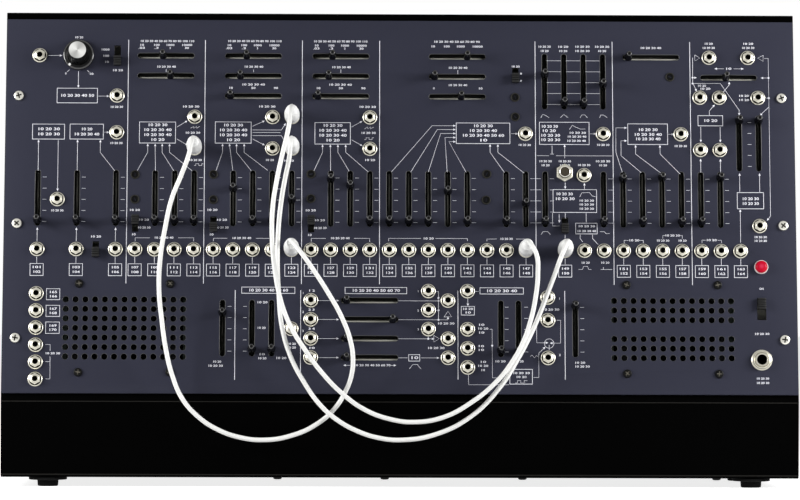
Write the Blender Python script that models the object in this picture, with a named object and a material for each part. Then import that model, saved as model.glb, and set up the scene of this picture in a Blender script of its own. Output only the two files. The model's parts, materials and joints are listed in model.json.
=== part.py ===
# Semi-modular synthesizer: a leaning control panel in a black sheet steel case, with
# slide pots, mini jacks, slide switches, two small speakers and three patch cords.
# The origin is on the ground under the middle of the instrument. +Z is up, and the player
# sits at -Y. The case is drawn with y counted from its lower front. On the panel, x runs
# to the right, s runs up the slope from the fold in the case front, and h stands out of
# the panel's face.
import math

import bmesh
import bpy
from mathutils import Matrix, Vector

MM = 0.001
SEAT_GAP = 0.3 * MM
SHARP_ANGLE = math.radians(35)

# Case
CASE_WIDTH = 520 * MM
CASE_TOP = 311 * MM
CASE_UNDERSIDE = 6.3 * MM
CASE_BACK = 123.5 * MM
CASE_WALL = 1.2 * MM
CASE_EDGE = 1.8 * MM
CASE_INNER_EDGE = 0.2 * MM
FOLD_HEIGHT = 55.7 * MM
PANEL_LEAN = math.radians(10)
SIDE_FLANGE = 15.5 * MM

# Rear cover and its power inlet
COVER_THICKNESS = 2 * MM
COVER_MARGIN = 16 * MM
COVER_OVERLAP = 10 * MM
INLET_INSET = 80 * MM
INLET_HEIGHT = 60 * MM
INLET_BORE_R = 3.2 * MM
INLET_PIN_R = 1.05 * MM
INLET_BODY_R = 5.5 * MM
INLET_DEPTH = 11 * MM
INLET_SIDES = 12

# Feet
FOOT_X = CASE_WIDTH / 2 - 30 * MM
FOOT_INSET = 14 * MM
FOOT_FLANGE_R = 12.5 * MM
FOOT_FLANGE_THICKNESS = 1.7 * MM
FOOT_RUBBER_R = 6.9 * MM
FOOT_TREAD_R = 6.6 * MM
FOOT_SIDES = 12

# Front panel
PANEL_REVEAL = 0.5 * MM
PANEL_THICKNESS = 2 * MM

# Grid of the controls: columns share the case's width, and rows its slope, which is drawn
# as so many units
COLUMN_COUNT = 38
LEFT_MARGIN = 22.2 * MM
RIGHT_MARGIN = 24.2 * MM
COLUMN_PITCH = (CASE_WIDTH - LEFT_MARGIN - RIGHT_MARGIN) / (COLUMN_COUNT - 1)
SLOPE_UNITS = 259.238
SLOPE_LENGTH = (CASE_TOP - FOLD_HEIGHT) / math.cos(PANEL_LEAN)
ROW = SLOPE_LENGTH / SLOPE_UNITS
TOP_ROW = 230 * ROW
TOP_ROW_PITCH = 13.5 * ROW
MAIN_SLIDER_ROW = 134.4 * ROW
MAIN_JACK_ROW = 100.2 * ROW
MAIN_SWITCH_ROW = 117 * ROW
REVERB_ROW = 172.3 * ROW
ENVELOPE_ROW = 213.5 * ROW
FILTER_SWITCH_ROW = 217.6 * ROW
LEVEL_JACK_ROW = 133.4 * ROW
GATE_JACK_ROW = 150.6 * ROW
CLOCK_JACK_ROWS = [69 * ROW, 53.9 * ROW, 29 * ROW]
LOWER_FIRST_ROW = 22.6 * ROW
LOWER_PITCH = 6.3 * ROW
LOWER_SLIDER_ROW = 48.2 * ROW
LEFT_JACK_FIRST_ROW = 14.2 * ROW
LEFT_JACK_PITCH = 11.3 * ROW
UPPER_JACK_ROW = 188.9 * ROW
MIDDLE_JACK_ROW = 178.3 * ROW
OUTPUT_JACK_ROW = 167.8 * ROW
LOWER_FLANGE = 8 * ROW
UPPER_FLANGE = 8.2 * ROW
PANEL_LOWER_MARGIN = 5 * ROW
PANEL_UPPER_MARGIN = 4.6 * ROW


def column_x(column):
    """Place of a grid column across the panel."""
    return LEFT_MARGIN - CASE_WIDTH / 2 + column * COLUMN_PITCH


def lower_row(row):
    """Place of a row in the lower strip of the panel."""
    return LOWER_FIRST_ROW + row * LOWER_PITCH


def top_row(row):
    """Place of a row counted down from the top of the panel."""
    return TOP_ROW - row * TOP_ROW_PITCH


# Control board
BOARD_FRONT = 11 * MM
BOARD_THICKNESS = 1.6 * MM
BOARD_HALF_WIDTH = CASE_WIDTH / 2 - 17 * MM
BOARD_LOWER_EDGE = 9 * ROW
BOARD_UPPER_EDGE = 244 * ROW
BOARD_ROOT = 0.8 * MM
BOARD_CLEARANCE = 3 * MM
POST_WIDTH = 5.5 * MM

# Slide pots and their levers
SLIDER_TRAVEL = 30 * MM
SLOT_WIDTH = 3.6 * MM
SLOT_END_PLAY = 1.65 * MM
POT_LENGTH = 44 * MM
POT_WIDTH = 8.6 * MM
POT_TOP = 4 * MM
GROOVE_FLOOR = 9 * MM
GROOVE_END_PLAY = 0.6 * MM
LEVER_LENGTH = 4 * MM
LEVER_THICKNESS = 1.6 * MM
LEVER_CLEARANCE = 0.4 * MM
CAP_BASE_R = 2.75 * MM
CAP_TIP_R = 1.5 * MM
CAP_BASE = 1 * MM
CAP_HEIGHT = 12.4 * MM
CAP_SIDES = 8
INPUT_CAP_BASE_WIDTH = 5 * MM
INPUT_CAP_TIP_WIDTH = 2.7 * MM

# Mini jacks
JACK_HOLE = 6.6 * MM
JACK_BUSH = 5.8 * MM
JACK_NUT_R = 4.9 * MM
JACK_NUT_HEIGHT = 3.2 * MM
JACK_BORE_R = 1.8 * MM
JACK_BORE_DEPTH = 14 * MM
JACK_SIDES = 6

# Slide switches
SWITCH_TRAVEL = 4.8 * MM
RANGE_SWITCH_TRAVEL = 8 * MM
SWITCH_SLOT_WIDTH = 4.2 * MM
SWITCH_STEM = 4.6 * MM
SWITCH_STEM_WIDTH = 3.4 * MM
SWITCH_END_PLAY = 0.5 * MM
SWITCH_CAP_WIDTH = 4.8 * MM
SWITCH_CAP_LENGTH = 6.4 * MM
SWITCH_CAP_BASE = 0.6 * MM
SWITCH_CAP_HEIGHT = 4.6 * MM
SWITCH_BODY_WIDTH = 8 * MM
SWITCH_BODY_MARGIN = 4 * MM

# Power switch
POWER_COLUMN_X = column_x(37.04)
POWER_SWITCH_ROW = 61.7 * ROW
POWER_TRAVEL = 6.6 * MM
POWER_KNOB_WIDTH = 5.2 * MM
POWER_KNOB_LENGTH = 7.3 * MM
POWER_KNOB_HEIGHT = 3.4 * MM
POWER_SLOT_CLEARANCE = 0.35 * MM
POWER_BODY_WIDTH = 10 * MM
POWER_BODY_MARGIN = 3 * MM

# Power lamp
LAMP_ROW = 89.5 * ROW
LAMP_BEZEL_R = 4.6 * MM
LAMP_BEZEL_HEIGHT = 1.8 * MM
LAMP_LENS_R = 4.05 * MM
LAMP_SHOULDER_R = 3.6 * MM
LAMP_SHOULDER_HEIGHT = 3.3 * MM
LAMP_CROWN_R = 1.8 * MM
LAMP_LENS_HEIGHT = 4.4 * MM
LAMP_BARREL_R = 3.4 * MM
LAMP_SIDES = 12

# Phones jack
PHONES_X = column_x(37)
PHONES_ROW = 27.9 * ROW
PHONES_NUT_R = 6.8 * MM
PHONES_NUT_HEIGHT = 2.6 * MM
PHONES_BUSH_R = 4.6 * MM
PHONES_BUSH_HEIGHT = 3.6 * MM
PHONES_BORE_R = 3.3 * MM
PHONES_BORE_DEPTH = 26 * MM
PHONES_BODY_R = 7.2 * MM
PHONES_BODY_DEPTH = 29 * MM
PHONES_SIDES = 16

# Round panel holes fit what passes through them with this much room
HOLE_CLEARANCE = 0.4 * MM
HOLE_SIDES = 12

# Gain knob
KNOB_X = column_x(2)
KNOB_ROW = TOP_ROW
KNOB_SKIRT_R = 10.25 * MM
KNOB_SKIRT_TOP_R = 9.9 * MM
KNOB_SKIRT_HEIGHT = 3.5 * MM
KNOB_GRIP_R = 7.4 * MM
KNOB_GRIP_FOOT = 4.5 * MM
KNOB_TOP_R = 6.2 * MM
KNOB_BASE = 0.8 * MM
KNOB_HEIGHT = 16.8 * MM
KNOB_SIDES = 16
SHAFT_R = 3 * MM
SHAFT_HEIGHT = 11 * MM
SHAFT_CLEARANCE = 0.4 * MM
GAIN_POT_R = 8 * MM
GAIN_BUSH_R = 3.5 * MM
GAIN_POT_SIDES = 8

# Manual start button
BUTTON_ROW = 151.9 * ROW
BUTTON_TRAVEL = 2 * MM
BUTTON_R = 3.8 * MM
BUTTON_CROWN_R = 2.9 * MM
BUTTON_CROWN = 0.8 * MM
BUTTON_CLEARANCE = 0.45 * MM
BUTTON_HEIGHT = 6 * MM
BUTTON_TAIL = 6 * MM
BUTTON_NUT_R = 6.3 * MM
BUTTON_NUT_HEIGHT = 3 * MM
BUTTON_BUSH_R = 5 * MM
BUTTON_SIDES = 12
NUT_SIDES = 6

# Speakers and their grilles
SPEAKER_X = {"left_speaker": column_x(4.5), "right_speaker": column_x(32.48)}
SPEAKER_ROW = 48 * ROW
SPEAKER_FRAME = 70 * MM
SPEAKER_FRAME_THICKNESS = 2 * MM
SPEAKER_CONE_R = 30 * MM
SPEAKER_BASKET_R = 32 * MM
SPEAKER_CONE_DEPTH = 11 * MM
SPEAKER_DUST_CAP_R = 9 * MM
SPEAKER_DUST_CROWN_R = 4.5 * MM
SPEAKER_DUST_CROWN = 2.2 * MM
SPEAKER_BASKET_DEPTH = 17 * MM
SPEAKER_MAGNET_R = 20 * MM
SPEAKER_DEPTH = 28 * MM
SPEAKER_SIDES = 12
GRILLE_HOLE_R = 2.05 * MM
GRILLE_PITCH_X = 6.38 * MM
GRILLE_PITCH_S = 6.3 * MM
GRILLE_COLUMNS = 13
GRILLE_ROWS = 7
GRILLE_HOLE_SIDES = 4

# Patch cords
CORD_DIAMETER = 3.4 * MM
CORD_POINT_STEP = 10 * MM
CORD_FINE_STEPS = 24
PLUG_R = 5 * MM
PLUG_GRIP_HEIGHT = 13 * MM
PLUG_WAIST_R = 4 * MM
PLUG_WAIST_HEIGHT = 22.3 * MM
PLUG_NECK_R = 2.65 * MM
PLUG_HEIGHT = 31 * MM
PLUG_PIN_R = 1.2 * MM
PLUG_PIN_DEPTH = 9 * MM
PLUG_SIDES = 10

# Input sliders: grid column, and how far up its travel each lever stands
INPUT_SLIDERS = {
    0: 0, 2: 0, 4: 0, 6: 0, 7: 0, 8: 0, 10: 21.5 * MM, 11: 0, 12: 0, 13: 14 * MM,
    15: 28 * MM, 16: 23.5 * MM, 17: 0, 18: 0, 19: 0, 20: 0, 21: 20 * MM, 22: 0, 24: 0,
    25: 12 * MM, 26: 0, 29: 0, 30: 28.5 * MM, 31: 0, 32: 29.5 * MM, 33: 0, 34: 0,
    35: 29.5 * MM,
}

# Main row of jacks: grid columns
MAIN_JACK_COLUMNS = [0, 2, 4] + [column for column in range(5, 37) if column != 26]

# Posts that hold the control board off the panel: x and s
BOARD_POSTS = [
    (column_x(0), 185 * ROW), (column_x(6.5), 185 * ROW), (column_x(10.5), 185 * ROW),
    (column_x(15.5), 185 * ROW), (column_x(21.7), 185 * ROW), (column_x(31), 190 * ROW),
    (column_x(0.5), 86 * ROW), (column_x(14), 14 * ROW), (column_x(25.6), 14 * ROW),
    (column_x(36), 80 * ROW),
]

# Blocks of electronics on the back of the board: centre x and s, width, height, depth
BOARD_BLOCKS = [
    (column_x(14), 170 * ROW, 90 * MM, 60 * MM, 14 * MM),
    (column_x(25), 160 * ROW, 70 * MM, 50 * MM, 10 * MM),
    (column_x(18.5), 50 * ROW, 60 * MM, 40 * MM, 18 * MM),
]


# Sliders that move: name, whether it runs across, centre x and s, and lever position
OSCILLATOR_X = [column_x(6.5), column_x(11), column_x(15.5)]
FILTER_X = column_x(21.5)
MIXER_X = column_x(17)
MOVING_SLIDERS = [
    ("oscillator_1_pitch_slider", True, OSCILLATOR_X[0], top_row(0), 13 * MM),
    ("oscillator_1_fine_slider", True, OSCILLATOR_X[0], top_row(1), 18 * MM),
    ("oscillator_2_pitch_slider", True, OSCILLATOR_X[1], top_row(0), 10.5 * MM),
    ("oscillator_2_fine_slider", True, OSCILLATOR_X[1], top_row(1), 6.5 * MM),
    ("oscillator_2_width_slider", True, OSCILLATOR_X[1], top_row(2), 0),
    ("oscillator_3_pitch_slider", True, OSCILLATOR_X[2], top_row(0), 9.5 * MM),
    ("oscillator_3_fine_slider", True, OSCILLATOR_X[2], top_row(1), 7 * MM),
    ("oscillator_3_width_slider", True, OSCILLATOR_X[2], top_row(2), 0),
    ("filter_pitch_slider", True, FILTER_X, top_row(0), 21.5 * MM),
    ("filter_fine_slider", True, FILTER_X, top_row(1), 0),
    ("filter_resonance_slider", True, FILTER_X, top_row(2), 17.5 * MM),
    ("amplifier_gain_slider", True, column_x(31.5), top_row(0), 0),
    ("pan_slider", True, column_x(35.5), top_row(1), 13 * MM),
    ("reverb_left_slider", False, column_x(36), REVERB_ROW, 30 * MM),
    ("reverb_right_slider", False, column_x(37), REVERB_ROW, 30 * MM),
    ("attack_slider", False, column_x(26), ENVELOPE_ROW, 19.5 * MM),
    ("decay_slider", False, column_x(27), ENVELOPE_ROW, 0.5 * MM),
    ("sustain_slider", False, column_x(28), ENVELOPE_ROW, 0),
    ("release_slider", False, column_x(29), ENVELOPE_ROW, 13 * MM),
    ("left_speaker_slider", False, column_x(9.5), LOWER_SLIDER_ROW, 25 * MM),
    ("noise_colour_slider", False, column_x(11), LOWER_SLIDER_ROW, 1 * MM),
    ("noise_level_slider", False, column_x(12), LOWER_SLIDER_ROW, 1 * MM),
    ("sample_level_slider", False, column_x(23.7), LOWER_SLIDER_ROW, 0.5 * MM),
    ("sample_rate_slider", False, column_x(24.6), LOWER_SLIDER_ROW, 0),
    ("right_speaker_slider", False, column_x(27.5), LOWER_SLIDER_ROW, 30 * MM),
    ("mixer_1_slider", True, MIXER_X, lower_row(7), 0),
    ("mixer_2_slider", True, MIXER_X, lower_row(5), 30 * MM),
    ("mixer_3_slider", True, MIXER_X, lower_row(3), 0),
    ("mixer_4_slider", True, MIXER_X, lower_row(1), 0),
]

# Slide switches: name, centre x and s, travel, and knob position up its travel
SWITCHES = [
    ("range_switch", column_x(4), top_row(0), RANGE_SWITCH_TRAVEL, 0),
    ("oscillator_1_switch", column_x(5), MAIN_SWITCH_ROW, SWITCH_TRAVEL, SWITCH_TRAVEL),
    ("oscillator_2_switch", column_x(9), MAIN_SWITCH_ROW, SWITCH_TRAVEL, 0),
    ("oscillator_3_switch", column_x(14), MAIN_SWITCH_ROW, SWITCH_TRAVEL, SWITCH_TRAVEL),
    ("ring_modulator_switch", column_x(3), MAIN_JACK_ROW, SWITCH_TRAVEL, 0),
    ("filter_type_switch", column_x(24.5), FILTER_SWITCH_ROW, SWITCH_TRAVEL, 0),
    ("gate_switch", column_x(27), MAIN_SWITCH_ROW, SWITCH_TRAVEL, 0),
]

# Mini jacks away from the main row: x and s
OTHER_JACKS = [
    (column_x(0), top_row(0)),
    (column_x(4), top_row(2)),
    (column_x(4), MIDDLE_JACK_ROW),
    (column_x(1), LEVEL_JACK_ROW),
    (column_x(8), UPPER_JACK_ROW),
    (column_x(8), OUTPUT_JACK_ROW),
    (column_x(12), UPPER_JACK_ROW),
    (column_x(13), UPPER_JACK_ROW),
    (column_x(12), OUTPUT_JACK_ROW),
    (column_x(13), OUTPUT_JACK_ROW),
    (column_x(17), UPPER_JACK_ROW),
    (column_x(17), OUTPUT_JACK_ROW),
    (column_x(25), MIDDLE_JACK_ROW),
    (column_x(29), MIDDLE_JACK_ROW),
    (column_x(28), GATE_JACK_ROW),
    (column_x(33), MIDDLE_JACK_ROW),
    (column_x(34.5), top_row(0)),
    (column_x(36.5), top_row(0)),
    (column_x(34), top_row(2)),
    (column_x(35), top_row(2)),
    (column_x(37), top_row(2)),
    (column_x(34), OUTPUT_JACK_ROW),
    (column_x(35), OUTPUT_JACK_ROW),
    (column_x(37), MAIN_SWITCH_ROW),
    (column_x(13), lower_row(4)),
    (column_x(14), lower_row(7)),
    (column_x(14), lower_row(5)),
    (column_x(14), lower_row(3)),
    (column_x(14), lower_row(1)),
    (column_x(20), lower_row(8)),
    (column_x(20), lower_row(6)),
    (column_x(20), lower_row(4)),
    (column_x(21), lower_row(7)),
    (column_x(21), lower_row(3)),
    (column_x(21), lower_row(1)),
    (column_x(22), lower_row(8)),
    (column_x(22), lower_row(4)),
    (column_x(22), lower_row(2)),
    (column_x(22), lower_row(0)),
    (column_x(26.1), CLOCK_JACK_ROWS[0]),
    (column_x(26.1), CLOCK_JACK_ROWS[1]),
    (column_x(26.1), CLOCK_JACK_ROWS[2]),
]
LEFT_JACK_COUNT = 6

# Patch cords: the jacks at their two ends, and the route between, in millimetres
PATCH_CORDS = {
    "patch_cord_1": {
        "start": (column_x(8), OUTPUT_JACK_ROW),
        "end": (column_x(13), MAIN_JACK_ROW),
        "route": [
            (-136, -13, 225), (-138, -18, 215), (-142.8, -18.5, 202), (-148.5, -18, 187.8),
            (-152.8, -16.5, 169), (-156.2, -15, 147), (-156.8, -14, 128), (-155, -13, 109),
            (-152.2, -12.5, 89.4), (-148, -12, 72.6), (-141.5, -11.5, 57.7), (-131.3, -11, 46.2),
            (-119.5, -10.5, 38.3), (-105, -10, 33), (-89, -9.5, 31.2), (-71, -9, 34),
            (-54.5, -8.8, 41.5), (-43, -9, 51.5), (-36, -10.5, 62.5), (-32, -13.5, 73.5),
            (-31.1, -16.5, 84.5), (-33.1, -18.5, 97), (-38.9, -20.5, 112), (-48, -22.5, 128),
            (-57.1, -24.5, 142), (-65, -26, 153),
        ],
    },
    "patch_cord_2": {
        "start": (column_x(13), UPPER_JACK_ROW),
        "end": (column_x(25), MAIN_JACK_ROW),
        "route": [
            (-71.8, -9, 246), (-72.6, -15.5, 238), (-74.2, -18, 229), (-77.2, -18.8, 216.5),
            (-80.6, -19, 200.3), (-83.2, -19, 183.5), (-83.8, -18.6, 166), (-82.2, -18.2, 144),
            (-77.4, -18, 120), (-71, -17.6, 104), (-62, -17.2, 89.7), (-51.5, -16.6, 75.5),
            (-38, -16, 61.6), (-23, -15.6, 51), (-7, -15.5, 45.1), (8, -15.5, 43.2),
            (27, -15.7, 46.2), (45, -16, 55.6), (62.5, -16.5, 70.2), (72, -17, 82.5),
            (79.4, -17.8, 96.2), (84.2, -19, 110.8), (87, -20.8, 125), (88.2, -23.5, 140),
            (87.2, -25.5, 152),
        ],
    },
    "patch_cord_3": {
        "start": (column_x(13), OUTPUT_JACK_ROW),
        "end": (column_x(27), MAIN_JACK_ROW),
        "route": [
            (-71.8, -11.6, 224.5), (-72.8, -14.2, 214), (-75, -14, 203), (-77.6, -13.7, 188),
            (-79.8, -13.4, 166), (-80.2, -13.2, 146), (-79.4, -13.1, 128), (-77, -13.2, 104),
            (-71.2, -13.3, 84.8), (-62.8, -13.4, 68.9), (-53, -13.5, 55), (-42, -13.5, 45),
            (-28, -13.4, 37.2), (-13, -13.2, 32.6), (2, -13, 31.6), (22, -13, 35),
            (45, -13, 46.5), (64.4, -13.2, 66), (76, -13.6, 84.5), (84.5, -14.4, 101),
            (90, -15.6, 114), (94.8, -17.6, 127), (99.2, -20.5, 139), (103, -24, 150),
        ],
    },
}


def clear_scene():
    for old in list(bpy.data.objects):
        bpy.data.objects.remove(old, do_unlink=True)


def srgb(red, green, blue):
    """Linear colour of an 0 to 255 screen colour."""
    linear = []
    for value in (red, green, blue):
        share = value / 255
        linear.append(share / 12.92 if share <= 0.04045 else ((share + 0.055) / 1.055) ** 2.4)
    return (*linear, 1.0)


def make_material(name, colour, roughness, metallic=0.0):
    material = bpy.data.materials.new(name)
    material.use_nodes = True
    shader = material.node_tree.nodes["Principled BSDF"]
    shader.inputs["Base Color"].default_value = colour
    shader.inputs["Roughness"].default_value = roughness
    shader.inputs["Metallic"].default_value = metallic
    material.diffuse_color = colour
    return material


def circle(radius, height, sides, turn=0.0, centre=(0.0, 0.0)):
    """Ring of points at one height, with a corner at the angle turn."""
    points = []
    for index in range(sides):
        angle = turn + 2 * math.pi * index / sides
        x = centre[0] + radius * math.cos(angle)
        y = centre[1] + radius * math.sin(angle)
        points.append(Vector((x, y, height)))
    return points


def rectangle(width, length, height, centre=(0.0, 0.0)):
    """Rectangle of points at one height, width along x and length along s."""
    x, s = centre
    return [
        Vector((x - width / 2, s - length / 2, height)),
        Vector((x + width / 2, s - length / 2, height)),
        Vector((x + width / 2, s + length / 2, height)),
        Vector((x - width / 2, s + length / 2, height)),
    ]


def bearing(point, centre):
    return math.atan2(point.y - centre.y, point.x - centre.x) % (2 * math.pi)


def join_rings(work, lower, upper):
    """Faces between two rings of corners, which may differ in number."""
    if len(lower) == len(upper):
        count = len(lower)
        return [
            work.faces.new((lower[i], lower[(i + 1) % count], upper[(i + 1) % count], upper[i]))
            for i in range(count)
        ]
    centre = sum((vert.co for vert in lower), Vector()) / len(lower)
    lower = sorted(lower, key=lambda vert: bearing(vert.co, centre))
    upper = sorted(upper, key=lambda vert: bearing(vert.co, centre))
    faces = []
    i = 0
    j = 0
    while i < len(lower) or j < len(upper):
        here = lower[i % len(lower)]
        there = upper[j % len(upper)]
        turn_here = bearing(lower[(i + 1) % len(lower)].co, centre) + 2 * math.pi * (
            i + 1 >= len(lower)
        )
        turn_there = bearing(upper[(j + 1) % len(upper)].co, centre) + 2 * math.pi * (
            j + 1 >= len(upper)
        )
        if j >= len(upper) or (i < len(lower) and turn_here <= turn_there):
            faces.append(work.faces.new((here, lower[(i + 1) % len(lower)], there)))
            i += 1
        else:
            faces.append(work.faces.new((here, upper[(j + 1) % len(upper)], there)))
            j += 1
    return faces


def add_loft(work, rings):
    """Add one closed body that runs through the rings and is capped at both ends."""
    loops = [[work.verts.new(point) for point in ring] for ring in rings]
    faces = [work.faces.new(loops[0]), work.faces.new(loops[-1])]
    for lower, upper in zip(loops, loops[1:]):
        faces += join_rings(work, lower, upper)
    bmesh.ops.recalc_face_normals(work, faces=faces)


def mesh_from(name, bodies):
    """Mesh of separate lofted bodies."""
    work = bmesh.new()
    for rings in bodies:
        add_loft(work, rings)
    mesh = bpy.data.meshes.new(name)
    work.to_mesh(mesh)
    work.free()
    return mesh


def add_object(name, mesh, material=None, parent=None, location=(0, 0, 0), turn=0.0):
    item = bpy.data.objects.new(name, mesh)
    bpy.context.scene.collection.objects.link(item)
    item.parent = parent
    item.location = location
    item.rotation_euler = (0, 0, turn)
    if material:
        item.data.materials.append(material)
    return item


def round_off(mesh):
    """Shade a turned piece smooth, with its crisp edges kept."""
    mesh.shade_smooth()
    mesh.set_sharp_from_angle(angle=SHARP_ANGLE)


def add_tool(name, mesh, parent=None):
    """A shape that only joins or cuts another."""
    tool = add_object(name, mesh, parent=parent)
    tool.hide_render = True
    tool.display_type = "WIRE"
    return tool


def combine(item, tool, operation):
    step = item.modifiers.new(tool.name, "BOOLEAN")
    step.operation = operation
    step.object = tool
    step.solver = "EXACT"


def box_rings(width, length, low, high, centre=(0.0, 0.0)):
    return [rectangle(width, length, low, centre), rectangle(width, length, high, centre)]


def side_profile(inset):
    """Side view of the case, y and z, drawn in by a sheet thickness."""
    lean = math.tan(PANEL_LEAN)
    slope_shift = inset / math.cos(PANEL_LEAN)
    fold = FOLD_HEIGHT + (inset - slope_shift) / lean
    top = CASE_TOP - inset
    low = CASE_UNDERSIDE + inset
    edge = max(CASE_EDGE - inset, CASE_INNER_EDGE)
    return [
        (inset + edge, low),
        (inset, low + edge),
        (inset, fold),
        ((top - FOLD_HEIGHT) * lean + slope_shift, top),
        (CASE_BACK - inset, top),
        (CASE_BACK - inset, low),
    ]


def case_prism(name, inset):
    half = CASE_WIDTH / 2 - inset
    rings = []
    for x in (-half, half):
        rings.append([Vector((x, y, z)) for y, z in side_profile(inset)])
    return mesh_from(name, [rings])


def add_case_frame():
    """Empty at the foot of the case front, set back so that the origin is in the middle."""
    frame = bpy.data.objects.new("case_frame", None)
    bpy.context.scene.collection.objects.link(frame)
    lean = math.sin(PANEL_LEAN)
    upright = math.cos(PANEL_LEAN)
    tip_reach = CAP_TIP_R * math.cos(math.pi / CAP_SIDES)
    lowest_tip = (lower_row(1) - tip_reach) * lean
    foremost = lowest_tip - (PANEL_THICKNESS + SEAT_GAP + CAP_HEIGHT) * upright
    rearmost = CASE_BACK + SEAT_GAP + COVER_THICKNESS
    frame.location = (0, -(foremost + rearmost) / 2, 0)
    return frame


def add_panel_frame(case_frame):
    """Empty on the panel's face, over the fold, that carries all on the panel."""
    frame = bpy.data.objects.new("panel_frame", None)
    bpy.context.scene.collection.objects.link(frame)
    frame.parent = case_frame
    stand_off = PANEL_THICKNESS + SEAT_GAP
    frame.location = (
        0,
        -stand_off * math.cos(PANEL_LEAN),
        FOLD_HEIGHT + stand_off * math.sin(PANEL_LEAN),
    )
    frame.rotation_euler = (math.pi / 2 - PANEL_LEAN, 0, 0)
    return frame


def add_case(case_frame, panel_frame):
    material = make_material("case_black", srgb(16, 16, 17), 0.45)
    case = add_object("case_shell", case_prism("case_shell", 0), material, case_frame)
    hollow = add_tool("case_hollow", case_prism("case_hollow", CASE_WALL), case_frame)
    combine(case, hollow, "DIFFERENCE")

    opening_width = CASE_WIDTH - 2 * SIDE_FLANGE
    opening_length = SLOPE_LENGTH - LOWER_FLANGE - UPPER_FLANGE
    centre = (0, LOWER_FLANGE + opening_length / 2)
    reach = PANEL_THICKNESS + SEAT_GAP + 2 * CASE_WALL
    front = mesh_from(
        "front_opening", [box_rings(opening_width, opening_length, -reach, CASE_WALL, centre)]
    )
    combine(case, add_tool("front_opening", front, panel_frame), "DIFFERENCE")

    low, high = rear_opening_heights()
    rear_width = CASE_WIDTH - 2 * (COVER_MARGIN + COVER_OVERLAP)
    rear = Matrix.Translation((0, CASE_BACK, (low + high) / 2)) @ Matrix.Rotation(
        math.pi / 2, 4, "X"
    )
    rear_mesh = mesh_from(
        "rear_opening", [box_rings(rear_width, high - low, -2 * CASE_WALL, 2 * CASE_WALL)]
    )
    rear_mesh.transform(rear)
    combine(case, add_tool("rear_opening", rear_mesh, case_frame), "DIFFERENCE")


def rear_opening_heights():
    low = CASE_UNDERSIDE + COVER_MARGIN + COVER_OVERLAP
    high = CASE_TOP - COVER_MARGIN - COVER_OVERLAP
    return low, high


def add_rear_cover(case_frame):
    """Flat cover over the opening in the back, with the power inlet's cup inside it."""
    material = make_material("cover_black", srgb(20, 20, 21), 0.5)
    low, high = rear_opening_heights()
    width = CASE_WIDTH - 2 * COVER_MARGIN
    height = high - low + 2 * COVER_OVERLAP
    centre = (low + high) / 2
    outside = CASE_BACK + SEAT_GAP + COVER_THICKNESS
    plate = mesh_from("rear_cover", [box_rings(width, height, -COVER_THICKNESS, 0)])
    cup = mesh_from(
        "inlet_cup",
        [[
            circle(INLET_BODY_R, -INLET_DEPTH - COVER_THICKNESS, INLET_SIDES),
            circle(INLET_BODY_R, -COVER_THICKNESS / 2, INLET_SIDES),
        ]],
    )
    bore = tube_mesh("inlet_bore", INLET_PIN_R, INLET_BORE_R, -INLET_DEPTH, COVER_THICKNESS)
    face_back = Matrix.Rotation(math.pi, 4, "Z") @ Matrix.Rotation(math.pi / 2, 4, "X")
    plate.transform(Matrix.Translation((0, outside, centre)) @ face_back)
    inlet_x = INLET_INSET - CASE_WIDTH / 2
    inlet_place = Matrix.Translation((inlet_x, outside, INLET_HEIGHT)) @ face_back
    cup.transform(inlet_place)
    bore.transform(inlet_place)
    cover = add_object("rear_cover", plate, material, case_frame)
    combine(cover, add_tool("inlet_cup", cup, case_frame), "UNION")
    combine(cover, add_tool("inlet_bore", bore, case_frame), "DIFFERENCE")


def tube_mesh(name, inner, outer, low, high):
    """Closed ring with a hole along its axis."""
    work = bmesh.new()
    loops = []
    for radius, height in ((inner, low), (outer, low), (outer, high), (inner, high)):
        verts = [work.verts.new(point) for point in circle(radius, height, INLET_SIDES)]
        loops.append(verts)
    for first, second in zip(loops, loops[1:] + loops[:1]):
        join_rings(work, first, second)
    bmesh.ops.recalc_face_normals(work, faces=work.faces[:])
    mesh = bpy.data.meshes.new(name)
    work.to_mesh(mesh)
    work.free()
    return mesh


def add_feet(case_frame):
    material = make_material("foot_rubber", srgb(18, 18, 18), 0.8)
    top = CASE_UNDERSIDE - SEAT_GAP
    flange = top - FOOT_FLANGE_THICKNESS
    mesh = mesh_from(
        "foot",
        [[
            circle(FOOT_TREAD_R, 0, FOOT_SIDES),
            circle(FOOT_RUBBER_R, flange, FOOT_SIDES),
            circle(FOOT_FLANGE_R, flange, FOOT_SIDES),
            circle(FOOT_FLANGE_R, top, FOOT_SIDES),
        ]],
    )
    round_off(mesh)
    mesh.materials.append(material)
    places = {
        "foot_front_left": (-FOOT_X, FOOT_INSET),
        "foot_front_right": (FOOT_X, FOOT_INSET),
        "foot_rear_left": (-FOOT_X, CASE_BACK - FOOT_INSET),
        "foot_rear_right": (FOOT_X, CASE_BACK - FOOT_INSET),
    }
    for name, (x, y) in places.items():
        add_object(name, mesh, None, case_frame, (x, y, 0))


def jack_places():
    places = [(column_x(column), MAIN_JACK_ROW) for column in MAIN_JACK_COLUMNS]
    places += OTHER_JACKS
    for index in range(LEFT_JACK_COUNT):
        places.append((column_x(0), LEFT_JACK_FIRST_ROW + index * LEFT_JACK_PITCH))
    return places


def slider_slots():
    """Centre and direction of every slot: x, s and whether it runs across."""
    slots = [(column_x(column), MAIN_SLIDER_ROW, False) for column in INPUT_SLIDERS]
    slots += [(x, s, across) for _, across, x, s, _ in MOVING_SLIDERS]
    return slots


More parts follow.
